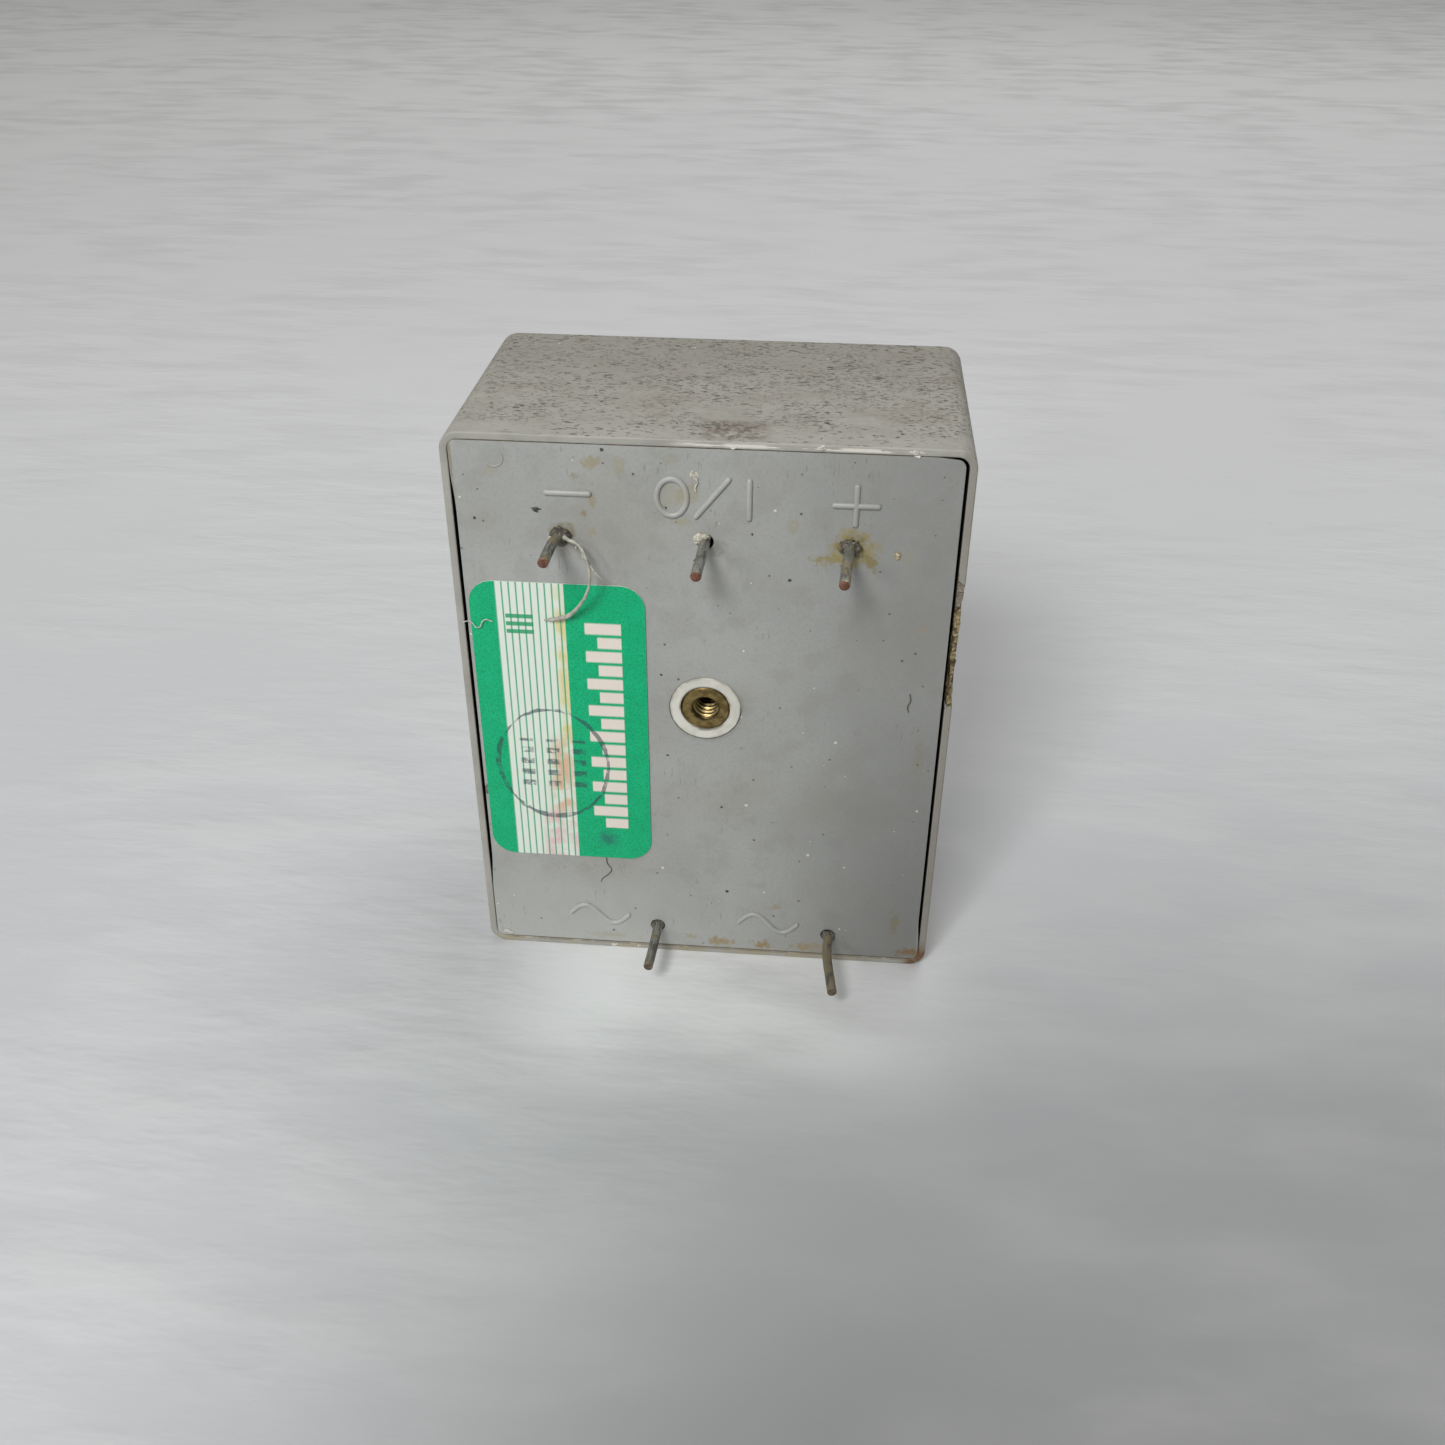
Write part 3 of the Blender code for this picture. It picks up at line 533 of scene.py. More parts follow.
        # Hardly any light reaches the groove between the rim and the plate.
        # It is painted near black: painted shade.
        groove_shade = look.both(
            look.zone(Axis.X, -22.22, 22.22, 0.05),
            look.zone(Axis.Z, 0.6, self.top_z - 0.6, 0.05),
            look.zone(Axis.Y, self.mouth_y + 0.1, self.back_y - 0.6, 0.1),
        )
        sand = look.cloud(0.3, 0.38, 0.62, 3, shift=7.0)
        sand_dark = look.cloud(0.7, 0.5, 0.62, 3, shift=2.9)
        colour = look.layers(
            self.base,
            [
                (mottle, self.pale),
                (look.both(top, 0.55), self.dusty),
                (look.both(dust, top, 0.6), self.dusty),
                (look.both(look.zone(Axis.Y, 1, 30, 14), top, 0.55), self.settled),
                (look.both(patches, 0.3), self.brown),
                (look.both(near_rim, top, 0.4), self.base),
                (look.both(rubbed, look.cloud(1.6, 0.35, 0.55, 4, shift=1.9), 0.6), self.soiled),
                (look.both(rubbed, look.cloud(0.6, 0.44, 0.6, 4, shift=3.9), 0.5), self.streak),
                (look.both(fine, 0.4), self.streak),
                (look.both(streaks, 0.8), self.streak),
                (look.both(pits, 0.6), self.speck),
                (look.both(pits_few, 0.65), self.speck),
                (look.both(flecks, 0.55), self.scuff),
                (look.both(front, 0.3), self.dusty),
                (look.both(rim_grime, 0.4), self.dusty),
                (look.both(foot, look.cloud(2.5, 0.4, 0.6, 3), 0.4), self.amber),
                # Painted shade: the rim's face is darker at its right side.
                (look.both(front, look.zone(Axis.X, 21.6, 24, 0.4), 0.5), self.right_rim_shade),
                (look.both(line, 0.5), self.seam),
                (look.both(lower_right, look.cloud(1.2, 0.25, 0.5, 3), 0.95), self.rust),
                (look.both(scuffs, 0.9), self.scuff),
                (raw, self.broken),
                (look.both(raw, sand), self.broken_pale),
                (look.both(raw, sand_dark, 0.85), self.broken_dark),
                (look.both(raw, look.zone(Axis.Z, 42.2, 50, 0.8), 0.75), self.broken_skin),
                # Painted shade in the groove.
                (look.both(groove_shade, 0.95), self.groove_shade),
            ],
        )
        roughness = look.layers(
            0.62, [(mottle, 0.54), (top, 0.78), (streaks, 0.9), (scuffs, 0.45), (raw, 0.9)]
        )
        look.dress(colour, roughness, Specular_IOR_Level=0.4)
        look.relief(
            [
                (look.cloud(0.35, 0.3, 0.7, 4), 0.012),
                (look.both(dust, top), 0.05),
                (look.both(fine, top), -0.04),
                (streaks, -0.07),
                (pits, -0.08),
                (flecks, 0.04),
                (look.both(raw, sand), 0.12),
            ]
        )


@dataclass(frozen=True)
class MouldedPlateGrey(Finish):
    """Grey thermoplastic moulding: a smooth satin skin with fine rubs, specks and flux stains."""

    stains: tuple[Stain, ...] = ()
    base: str = "#9FA19E"
    pale: str = "#A6A8A5"
    warm: str = "#98968D"
    speck: str = "#2E2A26"
    fleck: str = "#E9E7E0"
    rub: str = "#6B665C"
    seam: str = "#7A6B45"
    # The edge colour is a painted highlight.
    edge: str = "#C6C6C0"
    painted_light_grey: str = "#B1B3B0"
    # The dull grey is painted shade.
    dull: str = "#7D7E7B"
    grain: str = "#86857F"
    groove_shade: str = "#16130F"
    half_width: float = 21.96
    foot_z: float = 0.73
    top_z: float = 56.45

    def paint(self, look: Look) -> None:
        """An even grey with a faint yellowing, scattered specks and the stains.

        Args:
            look: the material.
        """
        mottle = look.cloud(11.0, 0.35, 0.65, 3)
        warm = look.cloud(9.0, 0.46, 0.7, 4, shift=4.4)
        # Rubs are 1.5 mm long hair scratches, mostly upright.
        rubs = look.cloud(0.5, 0.66, 0.72, 2, (0.5, 1, 3.0), shift=3.0)
        rub_zone = look.cloud(8.0, 0.5, 0.6, 2, shift=6.0)
        specks = look.grains(2.8, 0.22, 0.5)
        dots = look.grains(1.2, 0.14, 0.55, shift=5.0)
        dotted = look.cloud(5.0, 0.42, 0.58, 3, shift=2.6)
        flecks = look.grains(2.1, 0.18, 0.45, shift=2.0)
        # Painted light: the plate is paler at its lower left.
        lit_lower_left = look.both(look.zone(Axis.X, -40, 1, 12), look.zone(Axis.Z, -10, 7, 12))
        # Painted shade: the plate darkens towards its right side, most at the lower right.
        painted_shade_right = look.zone(Axis.X, 12, 40, 20)
        painted_shade_top_right = look.both(look.zone(Axis.X, 5, 40, 16), look.zone(Axis.Z, 34, 90, 20))
        painted_shade_low_right = look.both(look.zone(Axis.X, 14, 40, 18), look.zone(Axis.Z, -40, 20, 36))
        # Painted shade: the plate's sides in the gap round it are painted near black.
        groove_shade = look.zone(Axis.Y, FACE_Y + 0.09, FACE_Y + 3, 0.06)
        # Painted highlight: paler on the proud moulded marks and along the plate's right edge.
        proud = look.zone(Axis.Y, FACE_Y - 1, FACE_Y - 0.1, 0.1)
        right_edge_highlight = look.both(
            look.zone(Axis.X, self.half_width - 0.12, self.half_width + 1, 0.08),
            look.zone(Axis.Z, 4, 46, 6),
        )
        # Dirt and cement fill the seam where the plate meets the rim.
        seam = look.either(
            look.zone(Axis.Z, self.foot_z - 1, self.foot_z + 0.1, 0.14),
            look.zone(Axis.Z, self.top_z - 0.06, self.top_z + 1, 0.12),
            look.both(
                look.zone(Axis.X, -self.half_width - 1, -self.half_width + 0.12, 0.14),
                look.zone(Axis.Z, 51, 58, 2),
            ),
        )
        seam = look.both(seam, look.cloud(1.4, 0.34, 0.5, 3, shift=7.3), 0.7)
        colour = look.layers(
            self.base,
            [
                (mottle, self.pale),
                (look.both(warm, 0.5), self.warm),
                (look.both(look.cloud(0.3, 0.42, 0.7, 3, shift=9.0), 0.2), self.grain),
                (look.both(look.cloud(2.4, 0.48, 0.66, 4, shift=5.7), 0.22), self.grain),
                # Painted light at the lower left.
                (look.both(lit_lower_left, 0.7), self.painted_light_grey),
                # Painted shade towards the right side.
                (look.both(painted_shade_right, 0.5), self.dull),
                (look.both(painted_shade_top_right, 0.22), self.dull),
                (look.both(painted_shade_low_right, 0.85), self.dull),
                (look.both(rubs, rub_zone, 0.3), self.rub),
                *stain_layers(look, self.stains),
                (look.both(seam, 0.8), self.seam),
                (look.both(dots, dotted, 0.7), self.speck),
                (look.both(specks, 0.9), self.speck),
                (look.both(flecks, 0.6), self.fleck),
                # Painted highlight on the proud marks and the plate's right edge.
                (look.both(proud, 0.18), self.edge),
                (look.both(right_edge_highlight, 0.5), self.edge),
                # Painted shade on the plate's sides.
                (look.both(groove_shade, 0.95), self.groove_shade),
            ],
        )
        roughness = look.layers(
            0.42, [(mottle, 0.36), (look.both(rubs, rub_zone), 0.6), (specks, 0.8)]
        )
        look.dress(colour, roughness, Specular_IOR_Level=0.5)
        look.relief(
            [
                (look.cloud(0.22, 0.3, 0.7, 2), 0.003),
                (look.cloud(5.0, 0.3, 0.7, 1, shift=8.0), 0.02),
                (look.both(rubs, rub_zone), -0.01),
                (specks, -0.04),
                (flecks, 0.04),
            ]
        )


@dataclass(frozen=True)
class PrintedLabel(Finish):
    """Coated paper, printed in one green and stamped by hand: flat colours under a faint gloss."""

    green: str = "#02B278"
    green_pale: str = "#14C088"
    green_deep: str = "#029B65"
    green_dark: str = "#037048"
    paper: str = "#DDE6DA"
    print_cream: str = "#E4DACF"
    line: str = "#5DA886"
    ink: str = "#2F4550"
    yellow: str = "#D9CB7C"
    orange: str = "#D9A077"
    pink: str = "#DFAFB4"
    blot: str = "#2F5560"
    band: Place = (-19.1, -12.8)
    first_line_x: float = -18.45
    line_pitch: float = 0.655
    line_width: float = 0.15
    column: Place = (-11.05, -7.7)
    column_z: Place = (15.9, 39.3)
    block_pitch: float = 1.475
    block_length: float = 1.15
    tag: tuple[float, float, float, float] = (-18.3, -15.75, 37.7, 39.9)
    ring: tuple[float, float, float, float] = (-14.65, 23.5, 5.15, 6.0)

    def stripes(self, look: Look, axis: Axis, start: float, pitch: float, width: float) -> Socket:
        """A mask of even stripes across an axis.

        Args:
            look: the material.
            axis: the axis that they step along.
            start: the middle of one of them.
            pitch: their distance apart.
            width: how wide each is.
        Returns:
            The mask.
        """
        share = look.add(
            "Math", {0: look.axes[axis], 1: start - pitch / 2}, operation="SUBTRACT"
        )
        share = look.add("Math", {0: share, 1: pitch}, operation="DIVIDE")
        share = look.add("Math", {0: share}, operation="FRACT")
        off = look.add("Math", {0: share, 1: 0.5}, operation="SUBTRACT")
        off = look.add("Math", {0: off}, operation="ABSOLUTE")
        edge = width / pitch / 2
        return look.add(
            "MapRange",
            {"Value": off, "From Min": edge * 1.15, "From Max": edge * 0.85},
        )

    def stamp(self, look: Look) -> Socket:
        """The rubber stamp's mask: an uneven oval line and short dashes in three columns.

        Args:
            look: the material.
        Returns:
            The mask.
        """
        place = look.oval(*self.ring)
        wobble = look.add("TexNoise", {"Vector": look.place, "Scale": 0.9, "Detail": 3.0}, out=1)
        place = look.add(
            "VectorMath", {0: wobble, 1: (0.06, 0, 0.06), 2: place}, operation="MULTIPLY_ADD"
        )
        off = look.add("Math", {0: look.reach(place), 1: 1.04}, operation="SUBTRACT")
        off = look.add("Math", {0: off}, operation="ABSOLUTE")
        weight = look.cloud(3.0, 0.3, 0.7, 3, shift=2.0)
        width = look.add(
            "Math", {0: weight, 1: 0.035, 2: 0.016}, operation="MULTIPLY_ADD"
        )
        line = look.add("Math", {0: off, 1: width}, operation="LESS_THAN")
        dashes = look.both(
            self.stripes(look, Axis.X, -14.75, 2.55, 1.25),
            self.stripes(look, Axis.Z, 22.3, 1.3, 0.62),
            look.zone(Axis.X, -18.4, -11.3, 0.1),
            look.zone(Axis.Z, 20.2, 26.2, 0.1),
            look.cloud(0.7, 0.34, 0.44, 3, shift=8.0),
        )
        return look.both(look.either(line, dashes), look.cloud(0.8, 0.3, 0.52, 4, shift=4.0))

    def paint(self, look: Look) -> None:
        """The print, from the ground up, then the stamp, the stains and the paper's cut edge.

        Args:
            look: the material.
        """
        band = look.zone(Axis.X, *self.band, 0.06)
        lines = look.both(
            self.stripes(look, Axis.X, self.first_line_x, self.line_pitch, self.line_width), band
        )
        first = self.column_z[0] + self.block_length / 2
        blocks = look.both(
            look.zone(Axis.X, *self.column, 0.08),
            look.zone(Axis.Z, *self.column_z, 0.08),
            self.stripes(look, Axis.Z, first, self.block_pitch, self.block_length),
        )
        # Every second bar is shorter, as in a plain scale.
        middle = (self.column[0] + self.column[1]) / 2
        short = look.both(
            self.stripes(look, Axis.Z, first, 2 * self.block_pitch, self.block_pitch),
            look.zone(Axis.X, self.column[0] - 1, middle - 0.55, 0.08),
        )
        low_x, high_x, low_z, high_z = self.tag
        tag = look.both(
            look.zone(Axis.X, low_x, high_x, 0.06),
            look.zone(Axis.Z, low_z, high_z, 0.06),
            self.stripes(look, Axis.Z, low_z + 0.3, 0.8, 0.42),
        )
        fibres = look.cloud(0.22, 0.35, 0.65, 3)
        mottle = look.cloud(2.2, 0.35, 0.7, 4, shift=1.5)
        stain_side = look.both(look.zone(Axis.X, -13.75, -12.7, 0.9), look.zone(Axis.Z, 25, 42, 5))
        stain_low = look.both(look.zone(Axis.X, -15.0, -12.9, 1.6), look.zone(Axis.Z, 17, 26, 4))
        stain_foot = look.both(look.zone(Axis.X, -16.0, -12.6, 1.6), look.zone(Axis.Z, 11, 17.5, 3))
        uneven = look.cloud(1.5, 0.32, 0.62, 3, shift=6.0)
        cut_edge = look.zone(Axis.Y, FACE_Y - 0.136, FACE_Y + 1, 0.004)
        colour = look.layers(
            self.green,
            [
                (look.both(mottle, 0.5), self.green_pale),
                (look.both(fibres, 0.5), self.green_deep),
                (look.both(look.cloud(0.16, 0.52, 0.66, 2, shift=5.0), 0.5), self.green_dark),
                (band, self.paper),
                (look.both(stain_side, uneven, band, 0.85), self.yellow),
                (look.both(stain_low, uneven, band, 0.75), self.orange),
                (look.both(stain_foot, uneven, band, 0.8), self.pink),
                (look.both(lines, 0.95), self.line),
                (look.without(blocks, short), self.print_cream),
                (look.both(tag, 0.9), self.green_deep),
                (look.both(look.spot(-9.8, 14.5, 1.5, 1.3, 0.4, 0.9), 0.6), self.blot),
                (look.both(self.stamp(look), 0.72), self.ink),
                (cut_edge, self.paper),
            ],
        )
        glints = look.grains(1.1, 0.07, 0.4, shift=3.0)
        roughness = look.layers(0.4, [(mottle, 0.34), (fibres, 0.45), (glints, 0.2)])
        look.dress(colour, roughness, Specular_IOR_Level=0.35)
        look.relief(
            [
                (fibres, 0.004),
                (mottle, 0.01),
                (glints, 0.02),
                (look.cloud(4.0, 0.3, 0.7, 2, shift=5.0), 0.03),
            ]
        )


@dataclass(frozen=True)
class TinnedWire(Finish):
    """Copper wire, dipped in tin and gone dull: drawn streaks along it, with oxide and flux."""

    tin: str = "#8B8B86"
    bright: str = "#B7B8B2"
    oxide: str = "#4B4A45"
    flux: str = "#7C7258"
    flux_amount: float = 0.15

    def paint(self, look: Look) -> None:
        """Streaks along the wire, which runs along Y, under patches of oxide and flux.

        Args:
            look: the material.
        """
        # Drawn streaks are 0.12 mm wide and run for millimetres.
        streaks = look.cloud(0.16, 0.38, 0.62, 3, (1, 16, 1))
        oxide = look.cloud(0.7, 0.45, 0.65, 3, (1, 3, 1), shift=3.0)
        spots = look.cloud(0.25, 0.6, 0.7, 3, (1, 2, 1), shift=7.0)
        low = 0.7 - 0.35 * self.flux_amount
        flux = look.cloud(0.9, low - 0.14, low, 4, (1, 1.6, 1), shift=5.5)
        colour = look.layers(
            self.tin,
            [
                (look.both(streaks, 0.8), self.bright),
                (look.both(oxide, 0.75), self.oxide),
                (look.both(spots, 0.7), self.oxide),
                (look.both(flux, 0.9), self.flux),
            ],
        )
        roughness = look.layers(0.42, [(streaks, 0.32), (oxide, 0.58), (flux, 0.7)])
        metallic = look.layers(0.85, [(oxide, 0.55), (flux, 0.05)])
        look.dress(colour, roughness)
        look.tree.links.new(metallic, look.shader.inputs["Metallic"])
        look.relief([(streaks, 0.008), (spots, -0.01), (flux, 0.03)])


@dataclass(frozen=True)
class CutCopper(Finish):
    """Bare copper where the wire was cut off: browned, with the ridges of the cutter's jaws."""

    copper: str = "#734A38"
    brown: str = "#543628"
    bright: str = "#8C6350"

    def paint(self, look: Look) -> None:
        """Ridges across the cut, with a browned film.

        Args:
            look: the material.
        """
        ridges = look.cloud(0.12, 0.35, 0.65, 2, (4, 1, 1))
        film = look.cloud(0.4, 0.4, 0.65, 3, shift=2.0)
        colour = look.layers(
            self.copper, [(look.both(ridges, 0.6), self.bright), (look.both(film, 0.8), self.brown)]
        )
        look.dress(colour, look.layers(0.45, [(film, 0.6)]), Metallic=0.3)
        look.relief([(ridges, 0.02)])


@dataclass(frozen=True)
class TurnedBrass(Finish):
    """Free-cutting brass, turned on a lathe: fine rings, browned by air and handling."""

    brass: str = "#A08B58"
    bright: str = "#C2AC78"
    brown: str = "#6E5B38"
    # A near-black brown for dirt, and for painted shade in the bore.
    dirt_and_shade: str = "#2B2417"
    middle_z: float = 30.48

    def paint(self, look: Look) -> None:
        """Turning rings round the insert's axis, a brown film and dirt in its corners.

        Args:
            look: the material.
        """
        reach = look.reach(look.oval(0, self.middle_z))
        # The lathe's feed leaves a ring every 0.14 mm.
        turn = look.add("Math", {0: reach, 1: math.tau / 0.14}, operation="MULTIPLY")
        wave = look.add("Math", {0: turn}, operation="SINE")
        rings = look.add("MapRange", {"Value": wave, "From Min": -1.0, "From Max": 1.0})
        film = look.cloud(0.8, 0.4, 0.62, 4)
        dots = look.cloud(0.22, 0.58, 0.68, 3, shift=3.0)
        inner = look.add("MapRange", {"Value": reach, "From Min": 1.5, "From Max": 1.3})
        root = look.add("MapRange", {"Value": reach, "From Min": 1.19, "From Max": 1.29})
        outer = look.add("MapRange", {"Value": reach, "From Min": 2.08, "From Max": 2.24})
        bore = look.both(
            look.add("MapRange", {"Value": reach, "From Min": 1.6, "From Max": 1.5}),
            look.zone(Axis.Y, FACE_Y + 0.15, FACE_Y + 20, 0.2),
        )
        deep = look.zone(Axis.Y, FACE_Y + 2.6, FACE_Y + 20, 1.8)
        corners = look.both(
            look.either(inner, outer), look.zone(Axis.Y, FACE_Y - 1, FACE_Y + 0.3, 0.1)
        )
        colour = look.layers(
            self.brass,
            [
                (look.both(rings, 0.4), self.bright),
                (look.both(film, 0.75), self.brown),
                (look.both(dots, 0.5), self.dirt_and_shade),
                (look.both(corners, look.cloud(0.5, 0.3, 0.6, 3, shift=6.0), 0.7), self.dirt_and_shade),
                # Painted highlight: the thread in the bore is painted paler brass, so that it
                # glints.
                (look.both(bore, 0.5), self.bright),
                # Painted shade: near black in the thread's roots and deep in the bore.
                (look.both(bore, root, 0.92), self.dirt_and_shade),
                (look.both(bore, deep, 0.85), self.dirt_and_shade),
            ],
        )
        look.dress(
            colour, look.layers(0.28, [(film, 0.42), (dots, 0.6), (corners, 0.5)]), Metallic=0.95
        )
        look.relief([(rings, 0.004), (dots, -0.01)])


@dataclass(frozen=True)
class NaturalNylon(Finish):
    """Uncoloured nylon, turned off flush: a soft, waxy off-white that has picked up grey dirt."""

    base: str = "#D6D5CC"
    shade: str = "#BDBBAF"
    dirt_and_shade: str = "#7C7769"
    speck: str = "#3F3A33"
    middle_z: float = 30.48

    def paint(self, look: Look) -> None:
        """Off-white with grey at its edges, dirt and painted shade in the seams, and a few specks.

        Args:
            look: the material.
        """
        reach = look.reach(look.oval(0, self.middle_z))
        rim = look.add("MapRange", {"Value": reach, "From Min": 3.12, "From Max": 3.36})
        inner = look.add("MapRange", {"Value": reach, "From Min": 2.55, "From Max": 2.4})
        mottle = look.cloud(1.6, 0.4, 0.65, 4)
        specks = look.grains(0.9, 0.1, 0.4)
        colour = look.layers(
            self.base,
            [
                (look.both(mottle, 0.6), self.shade),
                # Dirt and painted shade at both edges, in the seams with the plate and the insert.
                (look.both(look.either(rim, inner), look.cloud(1.2, 0.35, 0.6, 3), 0.8), self.dirt_and_shade),
                (look.both(specks, 0.7), self.speck),
            ],
        )
        look.dress(
            colour,
            look.layers(0.5, [(mottle, 0.6)]),
            Subsurface_Weight=0.12,
            Subsurface_Scale=0.8 * MM,
        )
        look.relief([(look.cloud(0.4, 0.3, 0.7, 3), 0.01), (specks, -0.03)])


@dataclass(frozen=True)
class Residue(Finish):
    """What soldering and handling left behind: a crust or a film, glossy where it is resin."""

    base: str = "#8C7A4C"
    deep: str = "#5E4B28"
    pale: str = "#B4A473"
    grain: float = 0.5
    gloss: float = 0.35

    def paint(self, look: Look) -> None:
        """Swirls of darker and paler matter over each other.

        Args:
            look: the material.
        """
        deep = look.cloud(self.grain, 0.45, 0.62, 4, shift=2.0)
        pale = look.cloud(self.grain * 0.6, 0.52, 0.7, 4, shift=5.0)
        colour = look.layers(
            self.base, [(look.both(deep, 0.8), self.deep), (look.both(pale, 0.8), self.pale)]
        )
        look.dress(colour, look.layers(self.gloss, [(deep, min(1.0, self.gloss + 0.25))]))
        look.relief([(deep, -0.03), (pale, 0.03)])


@dataclass(frozen=True)
class DriedGlue(Finish):
    """A drawn-out string of hot glue: milky, a little see-through, with dust stuck on it."""

    base: str = "#B5B4A7"
    shade: str = "#8F8D7F"
    dust: str = "#6F6A59"

    def paint(self, look: Look) -> None:
        """Milky white with grey bands and dust.

        Args:
            look: the material.
        """
        bands = look.cloud(0.8, 0.4, 0.65, 3)
        dust = look.cloud(0.25, 0.6, 0.7, 3, shift=3.0)
        colour = look.layers(
            self.base, [(look.both(bands, 0.7), self.shade), (look.both(dust, 0.6), self.dust)]
        )
        look.dress(
            colour,
            look.layers(0.38, [(dust, 0.7)]),
            Subsurface_Weight=0.1,
            Subsurface_Scale=0.3 * MM,
        )
        look.relief([(bands, 0.02), (dust, 0.02)])


@dataclass(frozen=True)
class CastResin(Finish):
    """Epoxy filled with sand and poured: tan, dull, with grains showing."""

    base: str = "#8F7E58"
    grain: str = "#B7A780"
    dark: str = "#5C4C2E"

    def paint(self, look: Look) -> None:
        """Grains of 0.3 mm in a tan ground.

        Args:
            look: the material.
        """
        grains = look.cloud(0.3, 0.45, 0.6, 3)
        dark = look.cloud(0.9, 0.55, 0.7, 4, shift=4.0)
        colour = look.layers(
            self.base, [(look.both(grains, 0.7), self.grain), (look.both(dark, 0.7), self.dark)]
        )
        look.dress(colour, look.layers(0.8, [(grains, 0.65)]))
        look.relief([(grains, 0.05)])


@dataclass(frozen=True)
class PaperLaminate(Finish):
    """Punched phenolic-paper board: brown, with tinned lands round its pins."""

    lands: tuple[Place, ...] = ()
    base: str = "#8A6F3A"
    fibre: str = "#755B2B"
    pale: str = "#A08750"
    tin: str = "#A7A8A3"
    face_y: float = -9.8
    land_radius: float = 1.9

    def paint(self, look: Look) -> None:
        """Fibres along the board, and the lands on the soldered face.

        Args:
            look: the material.
        """
        fibres = look.cloud(0.35, 0.4, 0.62, 3, (1, 1, 8))
        mottle = look.cloud(4.0, 0.4, 0.65, 3, shift=2.0)
        front = look.zone(Axis.Y, self.face_y - 1, self.face_y + 0.04, 0.02)
        size = self.land_radius
        lands = look.either(*(look.spot(x, z, size, size, 0.02, 0.05) for x, z in self.lands))
        land = look.both(lands, front)
        colour = look.layers(
            self.base,
            [
                (look.both(fibres, 0.6), self.fibre),
                (look.both(mottle, 0.4), self.pale),
                (land, self.tin),
            ],
        )
        look.dress(colour, look.layers(0.5, [(fibres, 0.6), (land, 0.35)]))
        look.tree.links.new(look.layers(0.0, [(land, 0.9)]), look.shader.inputs["Metallic"])
        look.relief([(fibres, 0.01), (land, 0.03)])


@dataclass(frozen=True)
class RolledMetal(Finish):
    """Rolled or cast bare metal: lines along its length under a thin oxide."""

    base: str = "#B7B9BB"
    line: str = "#9B9DA0"
    oxide: str = "#84857F"
    grain: float = 0.2
    roughness: float = 0.35

    def paint(self, look: Look) -> None:
        """Rolling lines along Z, with patches of oxide.

        Args:
            look: the material.
        """
        lines = look.cloud(self.grain, 0.4, 0.62, 2, (1, 1, 14))
        oxide = look.cloud(2.5, 0.45, 0.7, 4, shift=3.0)
        colour = look.layers(
            self.base, [(look.both(lines, 0.6), self.line), (look.both(oxide, 0.6), self.oxide)]
        )
        rough = look.layers(self.roughness, [(oxide, self.roughness + 0.2)])
        look.dress(colour, rough, Metallic=0.95)
        look.relief([(lines, 0.006)])


@dataclass(frozen=True)
class ComponentCoat(Finish):
    """A component's own skin, dipped, moulded or enamelled, with its tinned leads below it.

    The body is a box in millimetres. Rings are painted round it at places along one axis.
    """

    low: Point = (0, 0, 0)
    high: Point = (0, 0, 0)
    base: str = "#B49A72"
    shade: str = "#9C8259"
    roughness: float = 0.45
    along: Axis = Axis.X
    rings: tuple[tuple[float, str], ...] = ()
    ring_width: float = 0.55
    tin: str = "#9A9A94"
    tin_shade: str = "#7B7B75"

    def paint(self, look: Look) -> None:
        """The body's colour inside its box, rings over it, and tin on what lies outside.

        Args:
            look: the material.
        """
        body = look.both(
            *(look.zone(axis, self.low[axis.value], self.high[axis.value], 0.05) for axis in Axis)
        )
        mottle = look.cloud(1.4, 0.35, 0.65, 4)
        grain = look.cloud(0.25, 0.3, 0.7, 2, shift=3.0)
        half = self.ring_width / 2
        rings = [
            (look.both(look.zone(self.along, at - half, at + half, 0.05), body), colour)
            for at, colour in self.rings
        ]
        colour = look.layers(
            self.tin,
            [
                (look.cloud(0.4, 0.4, 0.7, 3, shift=1.0), self.tin_shade),
                (body, self.base),
                (look.both(mottle, body, 0.6), self.shade),
                *rings,
            ],
        )
        look.dress(colour, look.layers(0.35, [(body, self.roughness)]))
        look.tree.links.new(look.layers(0.9, [(body, 0.0)]), look.shader.inputs["Metallic"])
        look.relief([(mottle, 0.02), (grain, 0.006)])


